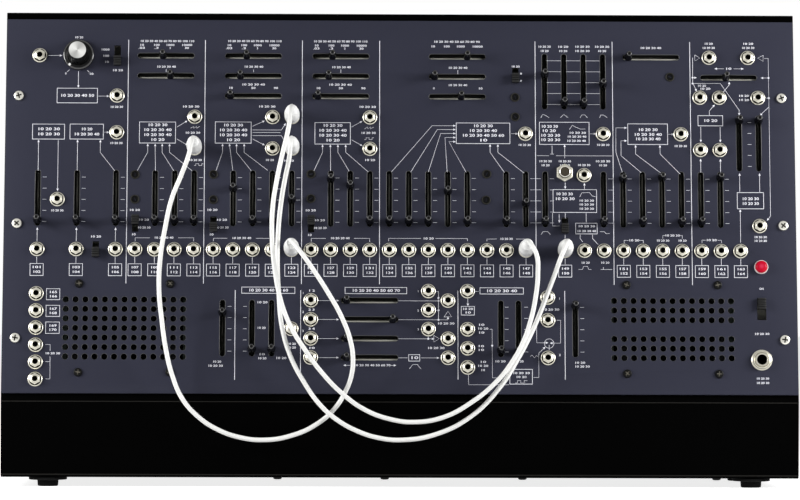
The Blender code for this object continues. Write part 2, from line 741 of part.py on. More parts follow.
def grille_holes():
    """Centres of the speaker holes; the right field leaves its middle row out."""
    holes = []
    for name, middle in SPEAKER_X.items():
        for row in range(GRILLE_ROWS):
            if name == "right_speaker" and row == GRILLE_ROWS // 2:
                continue
            for column in range(GRILLE_COLUMNS):
                x = middle + (column - (GRILLE_COLUMNS - 1) / 2) * GRILLE_PITCH_X
                s = SPEAKER_ROW + (row - (GRILLE_ROWS - 1) / 2) * GRILLE_PITCH_S
                holes.append((x, s))
    return holes


def slot_size(travel, stem, end_play):
    return travel + stem + 2 * end_play


def add_front_panel(panel_frame):
    material = make_material("panel_slate", srgb(58, 60, 73), 0.55)
    length = SLOPE_LENGTH - PANEL_LOWER_MARGIN - PANEL_UPPER_MARGIN
    centre = (0, PANEL_LOWER_MARGIN + length / 2)
    width = CASE_WIDTH - 2 * PANEL_REVEAL
    plate = mesh_from("front_panel", [box_rings(width, length, -PANEL_THICKNESS, 0, centre)])
    low = -2 * PANEL_THICKNESS
    high = PANEL_THICKNESS
    cuts = []
    for place in jack_places():
        cuts.append(box_rings(JACK_HOLE, JACK_HOLE, low, high, place))
    slot_length = slot_size(SLIDER_TRAVEL, LEVER_LENGTH, SLOT_END_PLAY)
    for x, s, across in slider_slots():
        size = (slot_length, SLOT_WIDTH) if across else (SLOT_WIDTH, slot_length)
        cuts.append(box_rings(*size, low, high, (x, s)))
    for _, x, s, travel, _ in SWITCHES:
        size = slot_size(travel, SWITCH_STEM, SWITCH_END_PLAY)
        cuts.append(box_rings(SWITCH_SLOT_WIDTH, size, low, high, (x, s)))
    for x, s in grille_holes():
        cuts.append([circle(GRILLE_HOLE_R, level, GRILLE_HOLE_SIDES, 0, (x, s))
                     for level in (low, high)])
    cuts.append(
        box_rings(
            POWER_KNOB_WIDTH + 2 * POWER_SLOT_CLEARANCE,
            slot_size(POWER_TRAVEL, POWER_KNOB_LENGTH, POWER_SLOT_CLEARANCE),
            low, high, (POWER_COLUMN_X, POWER_SWITCH_ROW),
        )
    )
    round_holes = [
        (KNOB_X, KNOB_ROW, GAIN_BUSH_R),
        (column_x(27), BUTTON_ROW, BUTTON_BUSH_R),
        (POWER_COLUMN_X, LAMP_ROW, LAMP_BARREL_R),
        (PHONES_X, PHONES_ROW, PHONES_BUSH_R),
    ]
    for x, s, radius in round_holes:
        wide = (radius + HOLE_CLEARANCE) / math.cos(math.pi / HOLE_SIDES)
        cuts.append([circle(wide, level, HOLE_SIDES, 0, (x, s)) for level in (low, high)])
    panel = add_object("front_panel", plate, material, panel_frame)
    combine(panel, add_tool("panel_cuts", mesh_from("panel_cuts", cuts), panel_frame),
            "DIFFERENCE")


def board_outline():
    """Outline of the control board, which leaves room for both speakers."""
    half_frame = SPEAKER_FRAME / 2 + BOARD_CLEARANCE
    notch_top = SPEAKER_ROW + half_frame
    left = SPEAKER_X["left_speaker"]
    right = SPEAKER_X["right_speaker"]
    phones_top = PHONES_ROW + PHONES_BODY_R + BOARD_CLEARANCE
    low = BOARD_LOWER_EDGE
    return [
        (-BOARD_HALF_WIDTH, low),
        (left - half_frame, low),
        (left - half_frame, notch_top),
        (left + half_frame, notch_top),
        (left + half_frame, low),
        (right - half_frame, low),
        (right - half_frame, notch_top),
        (right + half_frame, notch_top),
        (right + half_frame, phones_top),
        (BOARD_HALF_WIDTH, phones_top),
        (BOARD_HALF_WIDTH, BOARD_UPPER_EDGE),
        (-BOARD_HALF_WIDTH, BOARD_UPPER_EDGE),
    ]


def jack_rings(place, root):
    turn = math.pi / JACK_SIDES
    return [
        rectangle(JACK_BUSH, JACK_BUSH, root, place),
        rectangle(JACK_BUSH, JACK_BUSH, SEAT_GAP, place),
        circle(JACK_NUT_R, SEAT_GAP, JACK_SIDES, turn, place),
        circle(JACK_NUT_R, JACK_NUT_HEIGHT, JACK_SIDES, turn, place),
        circle(JACK_BORE_R, JACK_NUT_HEIGHT, JACK_SIDES, turn, place),
        circle(JACK_BORE_R, JACK_NUT_HEIGHT - JACK_BORE_DEPTH, JACK_SIDES, turn, place),
    ]


def input_slider_rings(column, position, root):
    """Slide pot on the board with its lever and cap, all one body."""
    x = column_x(column)
    lever_s = MAIN_SLIDER_ROW - SLIDER_TRAVEL / 2 + position
    pot = (x, MAIN_SLIDER_ROW)
    lever = (x, lever_s)
    cap = INPUT_CAP_BASE_WIDTH
    tip = INPUT_CAP_TIP_WIDTH
    return [
        rectangle(POT_WIDTH, POT_LENGTH, root, pot),
        rectangle(POT_WIDTH, POT_LENGTH, -POT_TOP, pot),
        rectangle(LEVER_THICKNESS, LEVER_LENGTH, -POT_TOP, lever),
        rectangle(LEVER_THICKNESS, LEVER_LENGTH, CAP_BASE, lever),
        rectangle(cap, cap, CAP_BASE, lever),
        rectangle(tip, tip, CAP_HEIGHT, lever),
    ]


def grooved_rings(body, groove, place, root, floor):
    """Box body on the board with a groove in its top for a lever or stem."""
    return [
        rectangle(*body, root, place),
        rectangle(*body, -POT_TOP, place),
        rectangle(*groove, -POT_TOP, place),
        rectangle(*groove, -floor, place),
    ]


def add_control_board(panel_frame):
    """Circuit board with every jack, slide pot, switch body, post and circuit block."""
    material = make_material("board_green", srgb(30, 74, 48), 0.6)
    back = -BOARD_FRONT - BOARD_THICKNESS
    outline = board_outline()
    plate = mesh_from(
        "control_board",
        [[[Vector((x, s, level)) for x, s in outline] for level in (back, -BOARD_FRONT)]],
    )
    root = -BOARD_FRONT - BOARD_ROOT
    parts = [jack_rings(place, root) for place in jack_places()]
    for column, position in INPUT_SLIDERS.items():
        parts.append(input_slider_rings(column, position, root))
    groove_length = slot_size(SLIDER_TRAVEL, LEVER_LENGTH, GROOVE_END_PLAY)
    groove_width = LEVER_THICKNESS + 2 * LEVER_CLEARANCE
    for _, across, x, s, _ in MOVING_SLIDERS:
        body = (POT_LENGTH, POT_WIDTH) if across else (POT_WIDTH, POT_LENGTH)
        groove = (groove_length, groove_width) if across else (groove_width, groove_length)
        parts.append(grooved_rings(body, groove, (x, s), root, GROOVE_FLOOR))
    for _, x, s, travel, _ in SWITCHES:
        length = slot_size(travel, SWITCH_STEM, SWITCH_END_PLAY)
        body = (SWITCH_BODY_WIDTH, length + 2 * SWITCH_BODY_MARGIN)
        groove = (SWITCH_STEM_WIDTH + 2 * LEVER_CLEARANCE, length)
        parts.append(grooved_rings(body, groove, (x, s), root, GROOVE_FLOOR))
    power_length = slot_size(POWER_TRAVEL, POWER_KNOB_LENGTH, POWER_SLOT_CLEARANCE)
    power_width = POWER_KNOB_WIDTH + 2 * POWER_SLOT_CLEARANCE
    parts.append(
        grooved_rings(
            (POWER_BODY_WIDTH, power_length + 2 * POWER_BODY_MARGIN),
            (power_width, power_length),
            (POWER_COLUMN_X, POWER_SWITCH_ROW), root, GROOVE_FLOOR,
        )
    )
    for place in BOARD_POSTS:
        parts.append(box_rings(POST_WIDTH, POST_WIDTH, root, -PANEL_THICKNESS - SEAT_GAP, place))
    parts.append(gain_pot_rings(root))
    parts.append(button_bush_rings(root))
    blocks = []
    for x, s, width, length, depth in BOARD_BLOCKS:
        blocks.append(box_rings(width, length, back - depth, back + BOARD_ROOT / 2, (x, s)))
    board = add_object("control_board", plate, material, panel_frame)
    combine(board, add_tool("board_parts", mesh_from("board_parts", parts), panel_frame), "UNION")
    combine(board, add_tool("board_blocks", mesh_from("board_blocks", blocks), panel_frame),
            "UNION")


def gain_pot_rings(root):
    """Rotary pot with its bush and shaft, under the gain knob."""
    place = (KNOB_X, KNOB_ROW)
    return [
        circle(GAIN_POT_R, root, GAIN_POT_SIDES, 0, place),
        circle(GAIN_POT_R, -POT_TOP, GAIN_POT_SIDES, 0, place),
        circle(GAIN_BUSH_R, -POT_TOP, GAIN_POT_SIDES, 0, place),
        circle(GAIN_BUSH_R, SEAT_GAP, GAIN_POT_SIDES, 0, place),
        circle(SHAFT_R, SEAT_GAP, GAIN_POT_SIDES, 0, place),
        circle(SHAFT_R, SHAFT_HEIGHT, GAIN_POT_SIDES, 0, place),
    ]


def button_bush_rings(root):
    """Push switch body, its bush through the panel and its hexagon nut."""
    place = (column_x(27), BUTTON_ROW)
    bore = (BUTTON_R + BUTTON_CLEARANCE) / math.cos(math.pi / BUTTON_SIDES)
    floor = -(BUTTON_TAIL + BUTTON_TRAVEL + 2 * SEAT_GAP)
    return [
        circle(BUTTON_BUSH_R, root, BUTTON_SIDES, 0, place),
        circle(BUTTON_BUSH_R, SEAT_GAP, BUTTON_SIDES, 0, place),
        circle(BUTTON_NUT_R, SEAT_GAP, NUT_SIDES, 0, place),
        circle(BUTTON_NUT_R, BUTTON_NUT_HEIGHT, NUT_SIDES, 0, place),
        circle(bore, BUTTON_NUT_HEIGHT, BUTTON_SIDES, 0, place),
        circle(bore, floor, BUTTON_SIDES, 0, place),
    ]


def add_moving_sliders(panel_frame):
    material = make_material("slider_black", srgb(14, 14, 15), 0.5)
    mesh = mesh_from(
        "slider",
        [[
            rectangle(LEVER_THICKNESS, LEVER_LENGTH, -GROOVE_FLOOR + SEAT_GAP),
            rectangle(LEVER_THICKNESS, LEVER_LENGTH, CAP_BASE),
            circle(CAP_BASE_R, CAP_BASE, CAP_SIDES, math.pi / CAP_SIDES),
            circle(CAP_TIP_R, CAP_HEIGHT, CAP_SIDES, math.pi / CAP_SIDES),
        ]],
    )
    mesh.materials.append(material)
    for name, across, x, s, position in MOVING_SLIDERS:
        offset = position - SLIDER_TRAVEL / 2
        if across:
            add_object(name, mesh, None, panel_frame, (x + offset, s, 0), math.pi / 2)
        else:
            add_object(name, mesh, None, panel_frame, (x, s + offset, 0))


def add_switch_knobs(panel_frame):
    material = make_material("switch_black", srgb(18, 18, 19), 0.55)
    mesh = mesh_from(
        "switch_knob",
        [[
            rectangle(SWITCH_STEM_WIDTH, SWITCH_STEM, -GROOVE_FLOOR + SEAT_GAP),
            rectangle(SWITCH_STEM_WIDTH, SWITCH_STEM, SWITCH_CAP_BASE),
            rectangle(SWITCH_CAP_WIDTH, SWITCH_CAP_LENGTH, SWITCH_CAP_BASE),
            rectangle(SWITCH_CAP_WIDTH, SWITCH_CAP_LENGTH, SWITCH_CAP_HEIGHT),
        ]],
    )
    mesh.materials.append(material)
    for name, x, s, travel, position in SWITCHES:
        add_object(name, mesh, None, panel_frame, (x, s + position - travel / 2, 0))

    power = mesh_from(
        "power_switch",
        [box_rings(POWER_KNOB_WIDTH, POWER_KNOB_LENGTH, -GROOVE_FLOOR + SEAT_GAP,
                   POWER_KNOB_HEIGHT)],
    )
    place = (POWER_COLUMN_X, POWER_SWITCH_ROW + POWER_TRAVEL / 2, 0)
    add_object("power_switch", power, make_material("power_switch_black", srgb(18, 18, 19), 0.5),
               panel_frame, place)


def add_gain_knob(panel_frame):
    material = make_material("knob_black", srgb(15, 15, 16), 0.4)
    bore = (SHAFT_R + SHAFT_CLEARANCE) / math.cos(math.pi / KNOB_SIDES)
    mesh = mesh_from(
        "gain_knob",
        [[
            circle(bore, SHAFT_HEIGHT + SEAT_GAP, KNOB_SIDES),
            circle(bore, KNOB_BASE, KNOB_SIDES),
            circle(KNOB_SKIRT_R, KNOB_BASE, KNOB_SIDES),
            circle(KNOB_SKIRT_TOP_R, KNOB_SKIRT_HEIGHT, KNOB_SIDES),
            circle(KNOB_GRIP_R, KNOB_GRIP_FOOT, KNOB_SIDES),
            circle(KNOB_TOP_R, KNOB_HEIGHT, KNOB_SIDES),
        ]],
    )
    round_off(mesh)
    add_object("gain_knob", mesh, material, panel_frame, (KNOB_X, KNOB_ROW, 0))


def add_start_button(panel_frame):
    material = make_material("button_chrome", srgb(200, 200, 196), 0.15, 1.0)
    mesh = mesh_from(
        "manual_start_button",
        [[
            circle(BUTTON_R, -BUTTON_TAIL, BUTTON_SIDES),
            circle(BUTTON_R, BUTTON_HEIGHT - BUTTON_CROWN, BUTTON_SIDES),
            circle(BUTTON_CROWN_R, BUTTON_HEIGHT, BUTTON_SIDES),
        ]],
    )
    round_off(mesh)
    add_object("manual_start_button", mesh, material, panel_frame,
               (column_x(27), BUTTON_ROW, 0))


def add_power_lamp(panel_frame):
    material = make_material("lamp_red", srgb(200, 22, 24), 0.2)
    mesh = mesh_from(
        "power_lamp",
        [[
            circle(LAMP_BARREL_R, -BOARD_FRONT + SEAT_GAP, LAMP_SIDES),
            circle(LAMP_BARREL_R, SEAT_GAP, LAMP_SIDES),
            circle(LAMP_BEZEL_R, SEAT_GAP, LAMP_SIDES),
            circle(LAMP_BEZEL_R, LAMP_BEZEL_HEIGHT, LAMP_SIDES),
            circle(LAMP_LENS_R, LAMP_BEZEL_HEIGHT, LAMP_SIDES),
            circle(LAMP_SHOULDER_R, LAMP_SHOULDER_HEIGHT, LAMP_SIDES),
            circle(LAMP_CROWN_R, LAMP_LENS_HEIGHT, LAMP_SIDES),
        ]],
    )
    round_off(mesh)
    add_object("power_lamp", mesh, material, panel_frame, (POWER_COLUMN_X, LAMP_ROW, 0))


def add_phones_jack(panel_frame):
    """Turned headphone socket: nut in front of the panel, body clamped behind it."""
    material = make_material("phones_nickel", srgb(178, 174, 164), 0.3, 1.0)
    behind = -PANEL_THICKNESS - SEAT_GAP
    mesh = mesh_from(
        "phones_jack",
        [[
            circle(PHONES_BODY_R, -PHONES_BODY_DEPTH, PHONES_SIDES),
            circle(PHONES_BODY_R, behind, PHONES_SIDES),
            circle(PHONES_BUSH_R, behind, PHONES_SIDES),
            circle(PHONES_BUSH_R, SEAT_GAP, PHONES_SIDES),
            circle(PHONES_NUT_R, SEAT_GAP, PHONES_SIDES),
            circle(PHONES_NUT_R, PHONES_NUT_HEIGHT, PHONES_SIDES),
            circle(PHONES_BUSH_R, PHONES_NUT_HEIGHT, PHONES_SIDES),
            circle(PHONES_BUSH_R, PHONES_BUSH_HEIGHT, PHONES_SIDES),
            circle(PHONES_BORE_R, PHONES_BUSH_HEIGHT, PHONES_SIDES),
            circle(PHONES_BORE_R, PHONES_BUSH_HEIGHT - PHONES_BORE_DEPTH, PHONES_SIDES),
        ]],
    )
    round_off(mesh)
    add_object("phones_jack", mesh, material, panel_frame, (PHONES_X, PHONES_ROW, 0))


def add_speakers(panel_frame):
    """Small loudspeakers, flat frame against the panel and open cone to the front."""
    material = make_material("speaker_black", srgb(28, 28, 29), 0.7)
    front = -PANEL_THICKNESS - SEAT_GAP
    frame_back = front - SPEAKER_FRAME_THICKNESS
    cone_floor = front - SPEAKER_CONE_DEPTH
    mesh = mesh_from(
        "speaker",
        [[
            circle(SPEAKER_MAGNET_R, -SPEAKER_DEPTH, SPEAKER_SIDES),
            circle(SPEAKER_MAGNET_R, -SPEAKER_BASKET_DEPTH, SPEAKER_SIDES),
            circle(SPEAKER_BASKET_R, frame_back, SPEAKER_SIDES),
            rectangle(SPEAKER_FRAME, SPEAKER_FRAME, frame_back),
            rectangle(SPEAKER_FRAME, SPEAKER_FRAME, front),
            circle(SPEAKER_CONE_R, front, SPEAKER_SIDES),
            circle(SPEAKER_DUST_CAP_R, cone_floor, SPEAKER_SIDES),
            circle(SPEAKER_DUST_CROWN_R, cone_floor + SPEAKER_DUST_CROWN, SPEAKER_SIDES),
        ]],
    )
    mesh.materials.append(material)
    for name, x in SPEAKER_X.items():
        add_object(name, mesh, None, panel_frame, (x, SPEAKER_ROW, 0))


def panel_point(panel_frame, x, s, h):
    """Point of the panel in the case's own coordinates."""
    return panel_frame.matrix_basis @ Vector((x, s, h))


def smooth_route(points):
    """Points at an even step along a smooth curve through the route's own points."""
    padded = [2 * points[0] - points[1]] + points + [2 * points[-1] - points[-2]]
    fine = []
    for i in range(len(points) - 1):
        before, here, there, after = padded[i:i + 4]
        for k in range(CORD_FINE_STEPS):
            t = k / CORD_FINE_STEPS
            fine.append(
                0.5 * (2 * here + (there - before) * t
                       + (2 * before - 5 * here + 4 * there - after) * t ** 2
                       + (3 * here - before - 3 * there + after) * t ** 3)
            )
    fine.append(points[-1])
    lengths = [0.0]
    for first, second in zip(fine, fine[1:]):
        lengths.append(lengths[-1] + (second - first).length)
    count = round(lengths[-1] / CORD_POINT_STEP)
    even = []
    index = 0
    for k in range(count):
        target = lengths[-1] * k / count
        while lengths[index + 1] < target:
            index += 1
        share = (target - lengths[index]) / (lengths[index + 1] - lengths[index])
        even.append(fine[index].lerp(fine[index + 1], share))
    even.append(points[-1])
    return even


def add_patch_cords(case_frame, panel_frame):
    """Three cords, each with a plug at both ends that stands square to the panel."""
    cord_material = make_material("cord_white", srgb(232, 232, 228), 0.5)
    plug_material = make_material("plug_white", srgb(235, 235, 232), 0.4)
    seat = JACK_NUT_HEIGHT + SEAT_GAP
    plug_mesh = mesh_from(
        "plug",
        [[
            circle(PLUG_PIN_R, -PLUG_PIN_DEPTH, PLUG_SIDES),
            circle(PLUG_PIN_R, seat, PLUG_SIDES),
            circle(PLUG_R, seat, PLUG_SIDES),
            circle(PLUG_R, PLUG_GRIP_HEIGHT, PLUG_SIDES),
            circle(PLUG_WAIST_R, PLUG_WAIST_HEIGHT, PLUG_SIDES),
            circle(PLUG_NECK_R, PLUG_HEIGHT, PLUG_SIDES),
        ]],
    )
    round_off(plug_mesh)
    plug_mesh.materials.append(plug_material)
    out = CORD_DIAMETER
    for name, cord in PATCH_CORDS.items():
        ends = []
        for side in ("start", "end"):
            x, s = cord[side]
            add_object(f"{name}_{side}_plug", plug_mesh, None, panel_frame, (x, s, 0))
            seat_point = panel_point(panel_frame, x, s, PLUG_HEIGHT + SEAT_GAP)
            straight_point = panel_point(panel_frame, x, s, PLUG_HEIGHT + SEAT_GAP + out)
            ends.append((seat_point, straight_point))
        route = [Vector(point) * MM for point in cord["route"]]
        free = smooth_route([ends[0][1]] + route + [ends[1][1]])
        points = [ends[0][0]] + free + [ends[1][0]]
        curve = bpy.data.curves.new(name, "CURVE")
        curve.dimensions = "3D"
        curve.bevel_depth = CORD_DIAMETER / 2
        curve.bevel_resolution = 2
        curve.use_fill_caps = True
        spline = curve.splines.new("POLY")
        spline.points.add(len(points) - 1)
        for target, point in zip(spline.points, points):
            target.co = (*point, 1.0)
        add_object(name, curve, cord_material, case_frame)


def build():
    clear_scene()
    case_frame = add_case_frame()
    panel_frame = add_panel_frame(case_frame)
    add_case(case_frame, panel_frame)
    add_rear_cover(case_frame)
    add_feet(case_frame)
    add_front_panel(panel_frame)
    add_control_board(panel_frame)
    add_moving_sliders(panel_frame)
    add_switch_knobs(panel_frame)
    add_gain_knob(panel_frame)
    add_start_button(panel_frame)
    add_power_lamp(panel_frame)
    add_phones_jack(panel_frame)
    add_speakers(panel_frame)
    add_patch_cords(case_frame, panel_frame)


build()
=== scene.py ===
import json
import math

import bpy
from mathutils import Matrix, Vector

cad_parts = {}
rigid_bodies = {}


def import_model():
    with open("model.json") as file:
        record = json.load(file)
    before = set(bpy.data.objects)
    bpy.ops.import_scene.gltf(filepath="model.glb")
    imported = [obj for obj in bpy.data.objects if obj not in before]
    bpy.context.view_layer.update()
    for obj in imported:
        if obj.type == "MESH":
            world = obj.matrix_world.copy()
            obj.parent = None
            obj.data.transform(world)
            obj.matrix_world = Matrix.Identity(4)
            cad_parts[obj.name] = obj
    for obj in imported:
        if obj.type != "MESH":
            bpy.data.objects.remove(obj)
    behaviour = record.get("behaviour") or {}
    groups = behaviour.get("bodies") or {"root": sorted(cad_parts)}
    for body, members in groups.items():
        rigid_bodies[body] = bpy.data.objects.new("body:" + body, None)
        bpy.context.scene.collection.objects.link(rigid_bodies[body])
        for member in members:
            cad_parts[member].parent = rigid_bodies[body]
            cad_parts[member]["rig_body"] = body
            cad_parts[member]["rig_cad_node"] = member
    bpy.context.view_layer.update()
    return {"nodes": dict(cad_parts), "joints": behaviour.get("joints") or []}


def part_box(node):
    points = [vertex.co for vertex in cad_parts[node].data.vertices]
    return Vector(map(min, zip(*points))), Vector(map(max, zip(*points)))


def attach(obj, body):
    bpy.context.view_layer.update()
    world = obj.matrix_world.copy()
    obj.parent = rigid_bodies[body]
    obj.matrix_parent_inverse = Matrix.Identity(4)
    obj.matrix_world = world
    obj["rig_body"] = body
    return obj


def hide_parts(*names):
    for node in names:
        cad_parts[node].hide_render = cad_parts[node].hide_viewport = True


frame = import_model()

MM = 0.001


# The camera stands nearly three metres off, a little left of the middle and at the height of
# the lower panel, with a long lens that fills the picture with the instrument.
CAMERA_PLACE = (-0.047, -2.91045, 0.1389)
CAMERA_TILT = math.radians(90.318)
CAMERA_PAN = math.radians(-0.932)
CAMERA_ROLL = math.radians(0.177)
CAMERA_LENS = 197.1

bpy.ops.object.select_all(action="DESELECT")
bpy.ops.object.camera_add(location=CAMERA_PLACE)
camera = bpy.context.object
camera_turn = (
    Matrix.Rotation(CAMERA_PAN, 3, "Z")
    @ Matrix.Rotation(CAMERA_TILT, 3, "X")
    @ Matrix.Rotation(CAMERA_ROLL, 3, "Z")
)
camera.rotation_euler = camera_turn.to_euler()
camera.data.lens = CAMERA_LENS
bpy.context.scene.camera = camera
bpy.context.scene.view_settings.view_transform = "Standard"


# The studio: a wide white floor and a white surround, with a large soft lamp on each side,
# above the panel's top, the right one stronger, so that caps throw soft shadows both ways.
FLOOR_SIZE = 14.0
FLOOR_WHITE = 0.9
FLOOR_LIFT = 0.82
SURROUND_LIGHT = 0.045
LAMPS = [
    ("left_lamp", (-0.98, -0.46, 0.44), 0.45, 11.2),
    ("right_lamp", (0.98, -0.46, 0.44), 0.45, 12.9),
]


def worked_out(tree, operation, *terms, clamp=False):
    """Output of a maths node whose terms are numbers or other nodes' outputs."""
    node = tree.nodes.new("ShaderNodeMath")
    node.operation = operation
    node.use_clamp = clamp
    for socket, term in zip(node.inputs, terms):
        if isinstance(term, float):
            socket.default_value = term
        else:
            tree.links.new(term, socket)
    return node.outputs[0]


def multiplied(tree, colour, shade):
    """Output of a node that multiplies a colour by a shade of grey."""
    node = tree.nodes.new("ShaderNodeMix")
    node.data_type = "RGBA"
    node.blend_type = "MULTIPLY"
    node.inputs["Factor"].default_value = 1.0
    tree.links.new(colour, node.inputs["A"])
    tree.links.new(shade, node.inputs["B"])
    return node.outputs["Result"]


def white_to_the_eye(tree):
    """1 where the camera, a reflection or a view through glass looks, and 0 for the light."""
    path = tree.nodes.new("ShaderNodeLightPath")
    seen = worked_out(tree, "ADD", path.outputs["Is Camera Ray"], path.outputs["Is Glossy Ray"])
    return worked_out(tree, "ADD", seen, path.outputs["Is Transmission Ray"], clamp=True)


bpy.ops.object.select_all(action="DESELECT")
bpy.ops.mesh.primitive_plane_add(size=FLOOR_SIZE)
floor = bpy.context.object
floor.name = "floor"
floor_paint = bpy.data.materials.new("floor_white")
floor_paint.use_nodes = True
tree = floor_paint.node_tree
shader = tree.nodes["Principled BSDF"]
shader.inputs["Base Color"].default_value = (FLOOR_WHITE, FLOOR_WHITE, FLOOR_WHITE, 1)
shader.inputs["Roughness"].default_value = 0.9
shader.inputs["Specular IOR Level"].default_value = 0.0
shader.inputs["Emission Color"].default_value = (1, 1, 1, 1)
lift = worked_out(tree, "MULTIPLY", white_to_the_eye(tree), FLOOR_LIFT)
tree.links.new(lift, shader.inputs["Emission Strength"])
floor.data.materials.append(floor_paint)

world = bpy.data.worlds.new("surround")
bpy.context.scene.world = world
world.use_nodes = True
tree = world.node_tree
background = tree.nodes["Background"]
background.inputs["Color"].default_value = (1, 1, 1, 1)
strength = tree.nodes.new("ShaderNodeMapRange")
strength.inputs["To Min"].default_value = SURROUND_LIGHT
strength.inputs["To Max"].default_value = 1.0
tree.links.new(white_to_the_eye(tree), strength.inputs["Value"])
tree.links.new(strength.outputs["Result"], background.inputs["Strength"])

LAMP_AIM = Vector((0, 0, 0.16))
for name, place, size, power in LAMPS:
    bpy.ops.object.light_add(type="AREA", location=place)
    lamp = bpy.context.object
    lamp.name = name
    lamp.data.shape = "SQUARE"
    lamp.data.size = size
    lamp.data.energy = power
    lamp.rotation_euler = (LAMP_AIM - Vector(place)).to_track_quat("-Z", "Y").to_euler()


# Patch cords: three limp white cords, each moulded on to a white plug at both ends. A plug
# stands square to the panel in its jack, and the cord droops between them in front of it.
PANEL_FOOT = Vector((0, -60.3156 * MM, 56.0994 * MM))
PANEL_LEAN = math.radians(10)
PANEL_FRAME = Matrix.Translation(PANEL_FOOT) @ Matrix.Rotation(math.pi / 2 - PANEL_LEAN, 4, "X")
CASE_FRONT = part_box("case_shell")[0].y
FIRST_COLUMN = -237.8 * MM
COLUMN_PITCH = 12.8 * MM
TOP_ROW = 230 * MM
TOP_ROW_PITCH = 13.5 * MM
MAIN_JACK_ROW = 100.2 * MM
UPPER_JACK_ROW = 188.9 * MM
OUTPUT_JACK_ROW = 167.8 * MM


def column_x(column):
    """Place of a grid column across the panel."""
    return FIRST_COLUMN + column * COLUMN_PITCH


def on_panel(x, s, h=0.0):
    """Point of the panel, in the row frame."""
    return PANEL_FRAME @ Vector((x, s, h))


CORD_DIAMETER = 3.0 * MM
CORD_SEAT = 31.3 * MM
PATCH_CORDS = {
    "patch_cord_1": {
        "start": (column_x(8), OUTPUT_JACK_ROW),
        "end": (column_x(13), MAIN_JACK_ROW),
        "length": 0.4263,
        "route": [
            (-136, -13, 225), (-138, -18, 215), (-142.8, -18.5, 202), (-148.5, -18, 187.8),
            (-152.8, -16.5, 169), (-156.2, -15, 147), (-156.8, -14, 128), (-155, -13, 109),
            (-152.2, -12.5, 89.4), (-148, -12, 72.6), (-141.5, -11.5, 57.7), (-131.3, -11, 46.2),
            (-119.5, -10.5, 38.3), (-105, -10, 33), (-89, -9.5, 31.2), (-71, -9, 34),
            (-54.5, -8.8, 41.5), (-43, -9, 51.5), (-36, -10.5, 62.5), (-32, -13.5, 73.5),
            (-31.1, -16.5, 84.5), (-33.1, -18.5, 97), (-38.9, -20.5, 112), (-48, -22.5, 128),
            (-57.1, -24.5, 142), (-65, -26, 153),
        ],
    },
    "patch_cord_2": {
        "start": (column_x(13), UPPER_JACK_ROW),
        "end": (column_x(25), MAIN_JACK_ROW),
        "length": 0.4277,
        "route": [
            (-71.8, -9, 246), (-72.6, -15.5, 238), (-74.2, -18, 229), (-77.2, -18.8, 216.5),
            (-80.6, -19, 200.3), (-83.2, -19, 183.5), (-83.8, -18.6, 166), (-82.2, -18.2, 144),
            (-77.4, -18, 120), (-71, -17.6, 104), (-62, -17.2, 89.7), (-51.5, -16.6, 75.5),
            (-38, -16, 61.6), (-23, -15.6, 51), (-7, -15.5, 45.1), (8, -15.5, 43.2),
            (27, -15.7, 46.2), (45, -16, 55.6), (62.5, -16.5, 70.2), (72, -17, 82.5),
            (79.4, -17.8, 96.2), (84.2, -19, 110.8), (87, -20.8, 125), (88.2, -23.5, 140),
            (87.2, -25.5, 152),
        ],
    },
    "patch_cord_3": {
        "start": (column_x(13), OUTPUT_JACK_ROW),
        "end": (column_x(27), MAIN_JACK_ROW),
        "length": 0.4301,
        "route": [
            (-71.8, -11.6, 224.5), (-72.8, -14.2, 214), (-75, -14, 203), (-77.6, -13.7, 188),
            (-79.8, -13.4, 166), (-80.2, -13.2, 146), (-79.4, -13.1, 128), (-77, -13.2, 104),
            (-71.2, -13.3, 84.8), (-62.8, -13.4, 68.9), (-53, -13.5, 55), (-42, -13.5, 45),
            (-28, -13.4, 37.2), (-13, -13.2, 32.6), (2, -13, 31.6), (22, -13, 35),
            (45, -13, 46.5), (64.4, -13.2, 66), (76, -13.6, 84.5), (84.5, -14.4, 101),
            (90, -15.6, 114), (94.8, -17.6, 127), (99.2, -20.5, 139), (103, -24, 150),
        ],
    },
}


